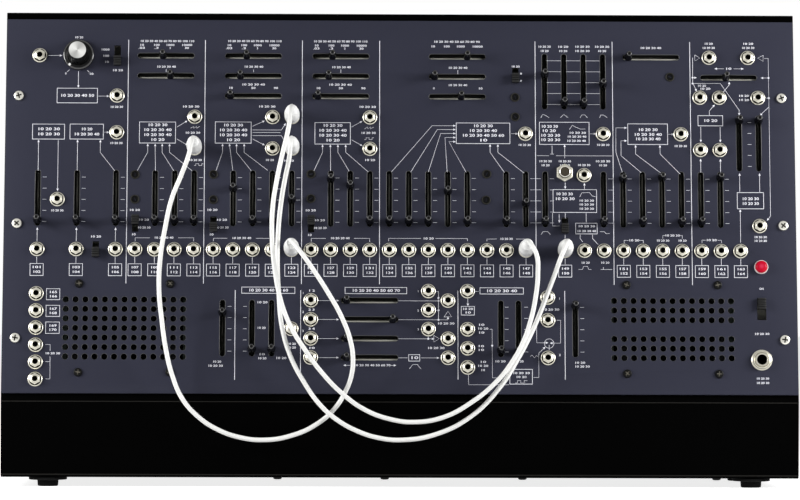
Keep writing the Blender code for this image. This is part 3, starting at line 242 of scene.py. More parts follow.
def build_grain():
    """Group that varies a colour and a roughness over a surface and gives it a fine relief."""
    group = bpy.data.node_groups.new("surface_grain", "ShaderNodeTree")
    inputs = [
        ("Colour", "NodeSocketColor"),
        ("Colour spread", "NodeSocketFloat"),
        ("Roughness", "NodeSocketFloat"),
        ("Roughness spread", "NodeSocketFloat"),
        ("Grain size", "NodeSocketFloat"),
        ("Relief", "NodeSocketFloat"),
    ]
    for name, kind in inputs:
        group.interface.new_socket(name, in_out="INPUT", socket_type=kind)
    for name, kind in (("Colour", "NodeSocketColor"), ("Roughness", "NodeSocketFloat"),
                       ("Normal", "NodeSocketVector")):
        group.interface.new_socket(name, in_out="OUTPUT", socket_type=kind)
    nodes = group.nodes
    links = group.links
    given = nodes.new("NodeGroupInput")
    result = nodes.new("NodeGroupOutput")
    place = nodes.new("ShaderNodeTexCoord")

    per_metre = worked_out(group, "DIVIDE", 1.0, given.outputs["Grain size"])
    fine = nodes.new("ShaderNodeTexNoise")
    fine.inputs["Detail"].default_value = 3.0
    links.new(place.outputs["Object"], fine.inputs["Vector"])
    links.new(per_metre, fine.inputs["Scale"])
    cloud = nodes.new("ShaderNodeTexNoise")
    cloud.inputs["Scale"].default_value = 14.0
    cloud.inputs["Detail"].default_value = 4.0
    links.new(place.outputs["Object"], cloud.inputs["Vector"])

    both = worked_out(group, "ADD", fine.outputs["Fac"], cloud.outputs["Fac"])
    centred = worked_out(group, "SUBTRACT", both, 1.0)
    shade = worked_out(group, "MULTIPLY_ADD", centred, given.outputs["Colour spread"], 1.0)
    tinted = multiplied(group, given.outputs["Colour"], shade)
    links.new(tinted, result.inputs["Colour"])
    rough = worked_out(group, "MULTIPLY_ADD", centred, given.outputs["Roughness spread"],
                       given.outputs["Roughness"])
    links.new(rough, result.inputs["Roughness"])

    bump = nodes.new("ShaderNodeBump")
    bump.inputs["Strength"].default_value = 1.0
    links.new(given.outputs["Relief"], bump.inputs["Distance"])
    links.new(fine.outputs["Fac"], bump.inputs["Height"])
    links.new(bump.outputs["Normal"], result.inputs["Normal"])
    return group


surface_grain = build_grain()


def srgb(red, green, blue):
    """Linear colour of an 0 to 255 screen colour."""
    linear = []
    for value in (red, green, blue):
        share = value / 255
        linear.append(share / 12.92 if share <= 0.04045 else ((share + 0.055) / 1.055) ** 2.4)
    return (*linear, 1.0)


def finish_of(name, colour, spread, roughness, rough_spread, grain, relief,
              metallic=0.0, specular=0.5):
    """Material with the shared grain: grain size and relief are real lengths."""
    made = bpy.data.materials.new(name)
    made.use_nodes = True
    tree = made.node_tree
    shader = tree.nodes["Principled BSDF"]
    grained = tree.nodes.new("ShaderNodeGroup")
    grained.node_tree = surface_grain
    grained.inputs["Colour"].default_value = colour
    grained.inputs["Colour spread"].default_value = spread
    grained.inputs["Roughness"].default_value = roughness
    grained.inputs["Roughness spread"].default_value = rough_spread
    grained.inputs["Grain size"].default_value = grain
    grained.inputs["Relief"].default_value = relief
    tree.links.new(grained.outputs["Colour"], shader.inputs["Base Color"])
    tree.links.new(grained.outputs["Roughness"], shader.inputs["Roughness"])
    tree.links.new(grained.outputs["Normal"], shader.inputs["Normal"])
    shader.inputs["Metallic"].default_value = metallic
    shader.inputs["Specular IOR Level"].default_value = specular
    return made


def turned(name, profile, sides, finish):
    """Piece turned about its own upright axis: a disc, extruded and scaled step by step."""
    bpy.ops.object.select_all(action="DESELECT")
    radius, height = profile[0]
    bpy.ops.mesh.primitive_circle_add(vertices=sides, radius=radius, fill_type="NGON")
    piece = bpy.context.object
    piece.name = name
    piece.data.name = name
    bpy.ops.object.mode_set(mode="EDIT")
    bpy.ops.mesh.select_all(action="SELECT")
    bpy.ops.transform.translate(value=(0, 0, height))
    for step_radius, step_height in profile[1:]:
        rise = (0, 0, step_height - height)
        bpy.ops.mesh.extrude_region_move(TRANSFORM_OT_translate={"value": rise})
        if step_radius:
            share = step_radius / radius
            bpy.ops.transform.resize(
                value=(share, share, 1), center_override=(0, 0, step_height)
            )
        else:
            bpy.ops.mesh.merge(type="CENTER")
        radius = step_radius
        height = step_height
    bpy.ops.mesh.select_all(action="SELECT")
    bpy.ops.mesh.normals_make_consistent(inside=False)
    bpy.ops.object.mode_set(mode="OBJECT")
    piece.data.materials.append(finish)
    return piece


def only(piece):
    """Select one piece and make it the active one."""
    bpy.ops.object.select_all(action="DESELECT")
    piece.select_set(True)
    bpy.context.view_layer.objects.active = piece


def round_off(piece, angle=32):
    """Shade a piece smooth, with its crisp edges kept."""
    only(piece)
    bpy.ops.object.shade_smooth_by_angle(angle=math.radians(angle))


def block(size, middle=(0, 0, 0)):
    """Block of a size, about a middle point."""
    bpy.ops.object.select_all(action="DESELECT")
    bpy.ops.mesh.primitive_cube_add(size=1)
    piece = bpy.context.object
    piece.data.transform(Matrix.Translation(middle) @ Matrix.Diagonal((*size, 1)))
    return piece


def bevel_all(piece, offset, segments):
    """Round or break every edge of a piece."""
    only(piece)
    bpy.ops.object.mode_set(mode="EDIT")
    bpy.ops.mesh.select_all(action="SELECT")
    bpy.ops.mesh.bevel(offset=offset, segments=segments, affect="EDGES")
    bpy.ops.object.mode_set(mode="OBJECT")


def second_finish(piece, finish, chosen):
    """Finish for the faces that a test of their radius and height picks."""
    piece.data.materials.append(finish)
    for face in piece.data.polygons:
        x, y, height = face.center
        if chosen(math.hypot(x, y), height):
            face.material_index = 1


def joined(name, pieces):
    """Several pieces made one."""
    only(pieces[0])
    for piece in pieces[1:]:
        piece.select_set(True)
    if len(pieces) > 1:
        bpy.ops.object.join()
    pieces[0].name = name
    pieces[0].data.name = name
    return pieces[0]


def copy_of(piece, name, place):
    """Copy with a mesh of its own, put in place by a matrix."""
    made = piece.copy()
    made.data = piece.data.copy()
    made.name = name
    made.data.name = name
    bpy.context.scene.collection.objects.link(made)
    made.data.transform(place)
    return made


def discard(piece):
    """Remove a piece that has served its turn."""
    bpy.data.objects.remove(piece, do_unlink=True)


def panel_place(x, s, h=0.0, turn=0.0):
    """Matrix that stands a piece on the panel."""
    return PANEL_FRAME @ Matrix.Translation((x, s, h)) @ Matrix.Rotation(turn, 4, "Z")


cord_white = finish_of("cord_white", srgb(242, 242, 239), 0.05, 0.42, 0.1, 1.5 * MM, 0.02 * MM)
plug_white = finish_of("plug_white", srgb(246, 246, 244), 0.04, 0.34, 0.1, 0.8 * MM, 0.01 * MM)
pin_nickel = finish_of("pin_nickel", srgb(176, 172, 160), 0.1, 0.22, 0.1, 0.4 * MM, 0.002 * MM,
                       metallic=1.0)
PLUG_SIDES = 28
PLUG_BODY = [
    (4.3, 3.5), (4.8, 3.6), (5.0, 4.0), (5.0, 12.2), (4.95, 13.0), (4.8, 13.5), (4.72, 13.9),
    (4.6, 14.8), (3.95, 21.6), (3.8, 22.4), (3.5, 22.9), (3.15, 23.2), (2.95, 24.2),
    (2.62, 24.4), (2.62, 24.9), (2.78, 25.1), (2.68, 26.3), (2.42, 26.5), (2.42, 27.0),
    (2.55, 27.2), (2.45, 28.4), (2.22, 28.6), (2.22, 29.1), (2.32, 29.3), (2.05, 30.7),
    (1.85, 31.0), (1.52, 31.05),
]
PLUG_PIN = [
    (0.35, -9.0), (0.8, -8.6), (1.15, -7.4), (0.8, -6.4), (1.18, -6.0), (1.18, -1.2),
    (1.05, -1.1), (1.05, -0.8), (1.18, -0.7), (1.18, 2.6), (2.6, 2.7), (2.6, 3.55),
]


def in_mm(profile):
    """Profile given in millimetres, in metres."""
    return [(radius * MM, height * MM) for radius, height in profile]


plug_body = turned("plug_body", in_mm(PLUG_BODY), PLUG_SIDES, plug_white)
plug_pin = turned("plug_pin", in_mm(PLUG_PIN), PLUG_SIDES // 2, pin_nickel)
plug = joined("plug", [plug_body, plug_pin])
round_off(plug)
for name, cord in PATCH_CORDS.items():
    ends = []
    for side in ("start", "end"):
        x, s = cord[side]
        node = f"{name}_{side}_plug"
        piece = copy_of(plug, f"{node}_moulding", panel_place(x, s))
        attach(piece, "case")
        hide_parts(node)
        ends.append([on_panel(x, s, CORD_SEAT), on_panel(x, s, CORD_SEAT + CORD_DIAMETER)])
    route = [Vector((x * MM, y * MM + CASE_FRONT, z * MM)) for x, y, z in cord["route"]]
    points = ends[0] + route + ends[1][::-1]
    line = bpy.data.curves.new(f"{name}_line", "CURVE")
    line.dimensions = "3D"
    line.bevel_depth = CORD_DIAMETER / 2
    line.bevel_resolution = 5
    line.resolution_u = 8
    line.use_fill_caps = True
    spline = line.splines.new("BEZIER")
    spline.bezier_points.add(len(points) - 1)
    for target, point in zip(spline.bezier_points, points):
        target.co = point
        target.handle_left_type = "AUTO"
        target.handle_right_type = "AUTO"
    line.materials.append(cord_white)
    cord_piece = bpy.data.objects.new(f"{name}_line", line)
    bpy.context.scene.collection.objects.link(cord_piece)
    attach(cord_piece, "case")
    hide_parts(name)
discard(plug)


# Case: one shell of folded black steel sheet with a soft powder coat. Its outer folds are rounded
# a little. A lighter painted highlight on the fold under the panel and on the bottom front edge
# shows each as a faint line.
FOLD_ROUNDING = 0.55 * MM
WELD_GAP = 0.01 * MM
case_black = finish_of("case_black", srgb(3, 3, 3), 0.25, 0.5, 0.12, 0.5 * MM, 0.012 * MM,
                       specular=0.004)


def carried_over(node, name, rounding, finish):
    """A frame node's shape with its edges rounded, standing for the node."""
    piece = copy_of(frame["nodes"][node], name, Matrix.Identity(4))
    piece.parent = None
    piece.matrix_world = Matrix.Identity(4)
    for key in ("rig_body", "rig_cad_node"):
        del piece[key]
    only(piece)
    bpy.ops.object.mode_set(mode="EDIT")
    bpy.ops.mesh.select_all(action="SELECT")
    bpy.ops.mesh.remove_doubles(threshold=WELD_GAP)
    bpy.ops.mesh.dissolve_limited(angle_limit=math.radians(1))
    bpy.ops.mesh.normals_make_consistent(inside=False)
    bpy.ops.object.mode_set(mode="OBJECT")
    if rounding:
        bevel = piece.modifiers.new("rounding", "BEVEL")
        bevel.width = rounding
        bevel.segments = 3
        bevel.limit_method = "ANGLE"
        bevel.angle_limit = math.radians(25)
        bpy.ops.object.modifier_apply(modifier=bevel.name)
    piece.data.materials.clear()
    piece.data.materials.append(finish)
    round_off(piece)
    return piece


# Painted highlight: a lighter brownish black on the rounded folds, standing in for the light they
# catch.
fold_painted_highlight = finish_of("fold_painted_highlight", srgb(33, 32, 30), 0.3, 0.45, 0.1, 0.5 * MM, 0.008 * MM,
                      specular=0.03)
UPPER_FOLD = 55.7 * MM
LOWER_FOLD = 8.1 * MM
FOLD_HIGHLIGHT_WIDTH = 0.28 * MM
case = carried_over("case_shell", "case_sheet", FOLD_ROUNDING, case_black)
case.data.materials.append(fold_painted_highlight)
only(case)
for edge in case.data.edges:
    ends = [case.data.vertices[index].co for index in edge.vertices]
    edge.select = all(abs(end.z - UPPER_FOLD) < FOLD_ROUNDING and
                      end.y < CASE_FRONT + FOLD_ROUNDING / 2 for end in ends)
bpy.ops.object.mode_set(mode="EDIT")
bpy.ops.mesh.select_mode(type="EDGE")
bpy.ops.mesh.bevel(offset=FOLD_HIGHLIGHT_WIDTH, segments=2, affect="EDGES", material=1)
bpy.ops.mesh.select_mode(type="VERT")
bpy.ops.object.mode_set(mode="OBJECT")
# The bottom front edge takes the same painted highlight.
for face in case.data.polygons:
    near_front = face.center.y < CASE_FRONT + FOLD_ROUNDING / 2
    if near_front and abs(face.center.z - LOWER_FOLD) < FOLD_ROUNDING:
        face.material_index = 1
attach(case, "case")
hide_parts("case_shell")


# Rear cover: a flat black steel plate over the opening in the back, with the power inlet's
# metal collar, held by ten black cross-head screws.
cover_black = finish_of("cover_black", srgb(11, 11, 12), 0.3, 0.5, 0.12, 0.5 * MM, 0.012 * MM,
                        specular=0.06)
screw_black = finish_of("screw_black", srgb(10, 10, 10), 0.3, 0.3, 0.1, 0.3 * MM, 0.003 * MM,
                        specular=0.1)
cover = carried_over("rear_cover", "rear_plate", 0.4 * MM, cover_black)
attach(cover, "case")
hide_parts("rear_cover")

SCREW_SIDES = 20
PAN_HEAD = [
    (2.85, -0.1), (2.85, 0.25), (2.8, 0.75), (2.55, 1.15), (2.0, 1.4), (1.2, 1.52), (0, 1.55),
]
CROSS_LENGTH = 3.3 * MM
CROSS_WIDTH = 0.75 * MM
CROSS_DEPTH = 0.85 * MM
SHALLOW_CROSS = 0.4 * MM


def cut_with(piece, cutter, operation="DIFFERENCE", transfer=False):
    """Cut a piece with another, which is then thrown away."""
    only(piece)
    cut = piece.modifiers.new("cut", "BOOLEAN")
    cut.operation = operation
    cut.object = cutter
    cut.solver = "EXACT"
    if transfer:
        cut.material_mode = "TRANSFER"
    bpy.ops.object.modifier_apply(modifier=cut.name)
    discard(cutter)


def cross_head_screw(name, finish, recess, depth):
    """Round head with a cross recess, standing on its seat at height zero."""
    head = turned(name, in_mm(PAN_HEAD), SCREW_SIDES, finish)
    crown = PAN_HEAD[-1][1] * MM
    for width, length in ((CROSS_WIDTH, CROSS_LENGTH), (CROSS_LENGTH, CROSS_WIDTH)):
        cutter = block((width, length, 2 * depth), (0, 0, crown))
        cutter.data.materials.append(recess)
        cut_with(head, cutter, transfer=True)
    round_off(head)
    return head


recess_pale = finish_of("recess_pale", srgb(112, 108, 98), 0.2, 0.5, 0.1, 0.3 * MM, 0.002 * MM,
                        specular=0.1)
black_screw = cross_head_screw("black_screw", screw_black, recess_pale, SHALLOW_CROSS)
cover_low, cover_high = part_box("rear_cover")
COVER_SCREW_INSET = 5 * MM
cover_back = cover_high.y
face_back = Matrix.Rotation(math.pi, 4, "Z") @ Matrix.Rotation(math.pi / 2, 4, "X")
rear_screws = []
for x in (-1, -0.5, 0, 0.5, 1):
    for z in (cover_low.z + COVER_SCREW_INSET, cover_high.z - COVER_SCREW_INSET):
        place = Matrix.Translation((x * (cover_high.x - COVER_SCREW_INSET), cover_back, z))
        rear_screws.append(copy_of(black_screw, "rear_screw", place @ face_back))
rear_screws = joined("rear_cover_screws", rear_screws)
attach(rear_screws, "case")

INLET_X = -180 * MM
INLET_Z = 60 * MM
INLET_COLLAR = [
    (3.3, -0.6), (5.4, -0.6), (5.4, 0.2), (5.2, 0.5), (4.6, 0.9), (3.7, 0.9), (3.4, 0.7),
    (3.3, 0.4),
]
collar_nickel = finish_of("collar_nickel", srgb(168, 165, 156), 0.15, 0.3, 0.1, 0.3 * MM,
                          0.002 * MM, metallic=1.0)


def turned_ring(name, profile, sides, finish):
    """Turned piece with a hole along its axis: the last ring is joined to the first."""
    bpy.ops.object.select_all(action="DESELECT")
    radius, height = profile[0]
    bpy.ops.mesh.primitive_circle_add(vertices=sides, radius=radius)
    piece = bpy.context.object
    piece.name = name
    piece.data.name = name
    bpy.ops.object.mode_set(mode="EDIT")
    bpy.ops.mesh.select_all(action="SELECT")
    bpy.ops.transform.translate(value=(0, 0, height))
    for step_radius, step_height in profile[1:] + profile[:1]:
        rise = (0, 0, step_height - height)
        bpy.ops.mesh.extrude_region_move(TRANSFORM_OT_translate={"value": rise})
        share = step_radius / radius
        bpy.ops.transform.resize(
            value=(share, share, 1), center_override=(0, 0, step_height)
        )
        radius = step_radius
        height = step_height
    bpy.ops.mesh.select_all(action="SELECT")
    bpy.ops.mesh.remove_doubles(threshold=WELD_GAP / 10)
    bpy.ops.mesh.normals_make_consistent(inside=False)
    bpy.ops.object.mode_set(mode="OBJECT")
    piece.data.materials.append(finish)
    return piece


collar = turned_ring("inlet_collar", in_mm(INLET_COLLAR), 24, collar_nickel)
collar.data.transform(Matrix.Translation((INLET_X, cover_back, INLET_Z)) @ face_back)
round_off(collar)
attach(collar, "case")


# Feet: four black rubber feet with a wide flange, each screwed up through its middle. Four
# pan-head screws under the front edge hold the inner frame.
rubber_black = finish_of("rubber_black", srgb(12, 12, 12), 0.3, 0.78, 0.12, 0.4 * MM, 0.02 * MM,
                         specular=0.08)
FOOT_SCREW_DEPTH = 2.4 * MM
FOOT_PROFILE = [
    (2.4, 2.2), (2.4, 0.5), (2.7, 0.15), (5.9, 0.0), (6.45, 0.2), (6.7, 0.8), (6.9, 3.8),
    (7.3, 4.25), (12.0, 4.3), (12.4, 4.5), (12.5, 4.9), (12.5, 5.9), (0, 6.0),
]
foot = turned("foot", in_mm(FOOT_PROFILE), 36, rubber_black)
head_down = Matrix.Rotation(math.pi, 4, "X")
foot_screw = copy_of(black_screw, "foot_screw",
                     Matrix.Translation((0, 0, FOOT_SCREW_DEPTH)) @ head_down)
foot = joined("foot", [foot, foot_screw])
round_off(foot)
for node in ("foot_front_left", "foot_front_right", "foot_rear_left", "foot_rear_right"):
    low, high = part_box(node)
    middle = (low + high) / 2
    piece = copy_of(foot, f"{node}_rubber", Matrix.Translation((middle.x, middle.y, 0)))
    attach(piece, "case")
    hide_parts(node)
discard(foot)

UNDER_SCREWS_X = (-80 * MM, -10 * MM, 80 * MM, 207 * MM)
UNDER_SCREW_INSET = 9 * MM
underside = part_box("case_shell")[0].z
under_screws = []
for x in UNDER_SCREWS_X:
    place = Matrix.Translation((x, CASE_FRONT + UNDER_SCREW_INSET, underside))
    under_screws.append(copy_of(black_screw, "under_screw", place @ head_down))
under_screws = joined("under_screws", under_screws)
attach(under_screws, "case")


# Front panel: one sheet of aluminium painted slate blue-grey, then drilled and slotted, so that
# the broken cut edges show bare metal; the cut walls below them are painted near black as painted
# shade. Slots have round ends, and all edges are broken.
slate_paint = finish_of("slate_paint", srgb(48, 49, 61), 0.08, 0.48, 0.1, 0.7 * MM, 0.008 * MM,
                        specular=0.06)
bare_edge = finish_of("bare_edge", srgb(88, 88, 87), 0.1, 0.42, 0.1, 0.3 * MM, 0.003 * MM,
                      metallic=0.7)
# Painted shade: the walls of holes and slots below the broken edge are near black, for the shade
# inside the cuts.
cut_wall_painted_shade = finish_of("cut_wall_painted_shade", srgb(24, 24, 26), 0.15, 0.6, 0.1, 0.3 * MM, 0.003 * MM,
                     specular=0.05)
PANEL_THICKNESS = 2 * MM
TOP_REVEAL = 0.35 * MM
EDGE_BREAK = 0.24 * MM
CUT_DEPTH = 3 * MM
CUT_RISE = 1 * MM
HOLE_SIDES = 20
MAIN_SLIDER_ROW = 134.4 * MM
MAIN_SWITCH_ROW = 117 * MM
MIDDLE_JACK_ROW = 178.3 * MM
JACK_HOLE_R = 3.35 * MM
SLIDER_TRAVEL = 30 * MM
SLOT_WIDTH = 3.6 * MM
SLOT_LENGTH = 37.3 * MM
SWITCH_SLOT_WIDTH = 4.2 * MM
SWITCH_STEM = 4.6 * MM
SWITCH_END_PLAY = 0.5 * MM
GRILLE_HOLE_R = 2.05 * MM
GRILLE_HOLE_SIDES = 14
GRILLE_EDGE_BREAK = 0.15 * MM
GRILLE_PITCH_X = 6.38 * MM
GRILLE_PITCH_S = 6.3 * MM
GRILLE_COLUMNS = 13
GRILLE_ROWS = 7
SPEAKER_ROW = 48 * MM
SPEAKER_X = {"left_speaker": column_x(4.5), "right_speaker": column_x(32.48)}
INPUT_SLIDERS = {
    0: 0, 2: 0, 4: 0, 6: 0, 7: 0, 8: 0, 10: 21.5 * MM, 11: 0, 12: 0, 13: 14 * MM,
    15: 28 * MM, 16: 23.5 * MM, 17: 0, 18: 0, 19: 0, 20: 0, 21: 20 * MM, 22: 0, 24: 0,
    25: 12 * MM, 26: 0, 29: 0, 30: 28.5 * MM, 31: 0, 32: 29.5 * MM, 33: 0, 34: 0,
    35: 29.5 * MM,
}
MAIN_JACK_COLUMNS = [0, 2, 4] + [column for column in range(5, 37) if column != 26]


def top_row(row):
    """Place of a row counted down from the top of the panel."""
    return TOP_ROW - row * TOP_ROW_PITCH


def lower_row(row):
    """Place of a row in the lower strip of the panel."""
    return (22.6 + 6.3 * row) * MM


OTHER_JACKS = [
    (0, top_row(0)), (4, top_row(2)), (4, MIDDLE_JACK_ROW), (1, 133.4 * MM),
    (8, UPPER_JACK_ROW), (8, OUTPUT_JACK_ROW), (12, UPPER_JACK_ROW), (13, UPPER_JACK_ROW),
    (12, OUTPUT_JACK_ROW), (13, OUTPUT_JACK_ROW), (17, UPPER_JACK_ROW), (17, OUTPUT_JACK_ROW),
    (25, MIDDLE_JACK_ROW), (29, MIDDLE_JACK_ROW), (28, 150.6 * MM), (33, MIDDLE_JACK_ROW),
    (34.5, top_row(0)), (36.5, top_row(0)), (34, top_row(2)), (35, top_row(2)),
    (37, top_row(2)), (34, OUTPUT_JACK_ROW), (35, OUTPUT_JACK_ROW), (37, MAIN_SWITCH_ROW),
    (13, lower_row(4)), (14, lower_row(7)), (14, lower_row(5)), (14, lower_row(3)),
    (14, lower_row(1)), (20, lower_row(8)), (20, lower_row(6)), (20, lower_row(4)),
    (21, lower_row(7)), (21, lower_row(3)), (21, lower_row(1)), (22, lower_row(8)),
    (22, lower_row(4)), (22, lower_row(2)), (22, lower_row(0)), (26.1, 69 * MM),
    (26.1, 53.9 * MM), (26.1, 29 * MM),
] + [(0, (14.2 + 11.3 * index) * MM) for index in range(6)]
jack_places = [(column_x(column), MAIN_JACK_ROW) for column in MAIN_JACK_COLUMNS]
jack_places += [(column_x(column), s) for column, s in OTHER_JACKS]

from_panel = PANEL_FRAME.inverted()


def panel_middle(node):
    """Middle of a frame node across and up the panel."""
    points = [from_panel @ vertex.co for vertex in frame["nodes"][node].data.vertices]
    middle = []
    for axis in (0, 1):
        values = [point[axis] for point in points]
        middle.append((min(values) + max(values)) / 2)
    return middle


moving = {}
for joint in frame["joints"]:
    node = joint["child"]
    x, s = panel_middle(node)
    record = {"x": x, "s": s, "across": abs(joint["axis"][0]) > 0.5}
    if joint["type"] == "slide":
        low, high = joint["range_m"]
        record["travel"] = high - low
        record["slot_x"] = x + (low + high) / 2 * record["across"]
        record["slot_s"] = s + (low + high) / 2 * (not record["across"])
    moving[node] = record
slider_nodes = [node for node in moving if node.endswith("_slider")]
switch_nodes = [node for node in moving if node.endswith("_switch") and node != "power_switch"]
power = moving["power_switch"]
gain = moving["gain_knob"]
button = moving["manual_start_button"]
lamp_x, lamp_s = panel_middle("power_lamp")
phones_x, phones_s = panel_middle("phones_jack")


def drill(radius, sides=HOLE_SIDES, edge=EDGE_BREAK):
    """Cutter for a round hole whose front edge is broken."""
    mouth = radius + edge
    profile = [(radius, -CUT_DEPTH), (radius, -edge), (mouth, 0), (mouth, CUT_RISE)]
    return turned("drill", profile, sides, bare_edge)


def slot_mill(width, length, sides=HOLE_SIDES):
    """Cutter for a slot with round ends: a drill pulled apart, narrower towards the ends."""
    cutter = drill(width / 2, sides)
    only(cutter)
    bpy.ops.object.mode_set(mode="EDIT")
    bpy.ops.mesh.select_all(action="SELECT")
    bpy.ops.mesh.bisect(plane_co=(0, 0, 0), plane_no=(0, 1, 0), use_fill=False)
    bpy.ops.object.mode_set(mode="OBJECT")
    reach = (length - width) / 2
    for vertex in cutter.data.vertices:
        if vertex.co.y > WELD_GAP / 10:
            vertex.co.y += reach
        elif vertex.co.y < -WELD_GAP / 10:
            vertex.co.y -= reach
    return cutter


def square_mill(width, length):
    """Cutter for a slot with square ends."""
    cutter = block((width, length, CUT_DEPTH + CUT_RISE), (0, 0, (CUT_RISE - CUT_DEPTH) / 2))
    cutter.data.materials.append(bare_edge)
    return cutter


def spots(cutter, places):
    """Copies of a cutter at places on the flat panel, with a turn where a slot runs across."""
    made = []
    for x, s, turn in places:
        place = Matrix.Translation((x, s, 0)) @ Matrix.Rotation(turn, 4, "Z")
        made.append(copy_of(cutter, "cut", place))
    discard(cutter)
    return made


ACROSS = math.pi / 2
slot_places = [(column_x(column), MAIN_SLIDER_ROW, 0) for column in INPUT_SLIDERS]
for node in slider_nodes:
    record = moving[node]
    slot_places.append((record["slot_x"], record["slot_s"], ACROSS if record["across"] else 0))
grille_places = []
for name, middle in SPEAKER_X.items():
    for row in range(GRILLE_ROWS):
        if name == "right_speaker" and row == GRILLE_ROWS // 2:
            continue
        for column in range(GRILLE_COLUMNS):
            x = middle + (column - (GRILLE_COLUMNS - 1) / 2) * GRILLE_PITCH_X
            s = SPEAKER_ROW + (row - (GRILLE_ROWS - 1) / 2) * GRILLE_PITCH_S
            grille_places.append((x, s, 0))
cuts = spots(drill(JACK_HOLE_R), [(x, s, 0) for x, s in jack_places])
cuts += spots(slot_mill(SLOT_WIDTH, SLOT_LENGTH), slot_places)
cuts += spots(drill(GRILLE_HOLE_R, GRILLE_HOLE_SIDES, GRILLE_EDGE_BREAK), grille_places)
for node in switch_nodes:
    record = moving[node]
    length = record["travel"] + SWITCH_STEM + 2 * SWITCH_END_PLAY
    cuts += spots(square_mill(SWITCH_SLOT_WIDTH, length),
                  [(record["slot_x"], record["slot_s"], 0)])
POWER_SLOT = (5.9 * MM, 14.6 * MM)
SHAFT_HOLE_R = 3.9 * MM
BUTTON_HOLE_R = 4.9 * MM
LAMP_HOLE_R = 3.8 * MM
PHONES_HOLE_R = 5 * MM
PANEL_ROUNDING = 0.3 * MM
cuts += spots(square_mill(*POWER_SLOT), [(power["slot_x"], power["slot_s"], 0)])
round_holes = [
    (gain["x"], gain["s"], SHAFT_HOLE_R), (button["x"], button["s"], BUTTON_HOLE_R),
    (lamp_x, lamp_s, LAMP_HOLE_R), (phones_x, phones_s, PHONES_HOLE_R),
]
for x, s, radius in round_holes:
    cuts += spots(drill(radius), [(x, s, 0)])
cutter = joined("panel_cuts", cuts)

plate_points = [from_panel @ vertex.co for vertex in frame["nodes"]["front_panel"].data.vertices]
panel_half = max(point.x for point in plate_points)
panel_low = min(point.y for point in plate_points)
panel_high = max(point.y for point in plate_points) - TOP_REVEAL
panel = block((2 * panel_half, panel_high - panel_low, PANEL_THICKNESS),
              (0, (panel_low + panel_high) / 2, -PANEL_THICKNESS / 2))
panel.name = "panel_sheet"
bevel_all(panel, PANEL_ROUNDING, 2)
panel.data.materials.append(slate_paint)
panel.data.materials.append(bare_edge)
cut_with(panel, cutter, transfer=True)
panel.data.materials.append(cut_wall_painted_shade)
# Cut faces deeper than the broken edge take the painted shade.
for face in panel.data.polygons:
    if face.material_index == 1 and face.center.z < -EDGE_BREAK - WELD_GAP:
        face.material_index = 2
panel.data.transform(PANEL_FRAME)
round_off(panel, 28)
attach(panel, "case")
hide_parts("front_panel")


# Panel print: silk-screened lines in pale lilac grey. Long rules part the sections, boxes stand
# for the circuits, thin lines with arrow heads follow the signals, short ticks scale the slots.
print_pale = finish_of("print_pale", srgb(232, 232, 240), 0.06, 0.6, 0.08, 0.4 * MM, 0.002 * MM,
                       specular=0.1)
PRINT_LIFT = 0.03 * MM
PRINT_HEIGHT = 0.05 * MM
RULE_WIDTH = 0.42 * MM
BOX_WIDTH = 0.5 * MM
SIGNAL_WIDTH = 0.28 * MM
TICK_WIDTH = 0.26 * MM
BOX_INSET_X = 0.45
BOX_INSET_S = 0.28
ARROW_LENGTH = 1.7
ARROW_HALF = 0.75
TRIANGLE_WIDENING = 1.15
TRIANGLE_HEIGHT = 1.5


def at_columns(lines):
    """Lines given in columns and millimetres, all in millimetres."""
    return [[(column_x(column) / MM, s) for column, s in line] for line in lines]


def frame_line(x0, s0, x1, s1):
    """Closed outline that lies just inside the given edges."""
    x0 += BOX_INSET_X
    x1 -= BOX_INSET_X
    s0 += BOX_INSET_S
    s1 -= BOX_INSET_S
    return [(x0, s0), (x1, s0), (x1, s1), (x0, s1), (x0, s0), (x1, s0)]


def printed(name, width, lines):
    """Lines of one width: each is a row of panel points in millimetres."""
    drawn = bpy.data.curves.new(name, "CURVE")
    drawn.dimensions = "3D"
    drawn.bevel_depth = width / 2
    drawn.bevel_resolution = 0
    for line in lines:
        spline = drawn.splines.new("POLY")
        spline.points.add(len(line) - 1)
        for point, (x, s) in zip(spline.points, line):
            point.co = (x * MM, s * MM, 0, 1)
    drawn.materials.append(print_pale)
    piece = bpy.data.objects.new(name, drawn)
    bpy.context.scene.collection.objects.link(piece)
    only(piece)
    bpy.ops.object.convert(target="MESH")
    piece.data.transform(Matrix.Diagonal((1, 1, PRINT_HEIGHT / width, 1)))
    piece.data.transform(PANEL_FRAME @ Matrix.Translation((0, 0, PRINT_LIFT / 2)))
    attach(piece, "case")
    return piece


rules = []
for x in (-179.4, -128.8, -64.8, -13.8, 88.8, 139.8, 191.1):
    rules.append([(x, 77.5), (x, 240.6)])
for x, low in ((-108.0, 14), (-65.2, 19), (37.5, 14.6), (107.4, 14.6)):
    rules.append([(x, low), (x, 73.3)])
printed("section_rules", RULE_WIDTH, rules)

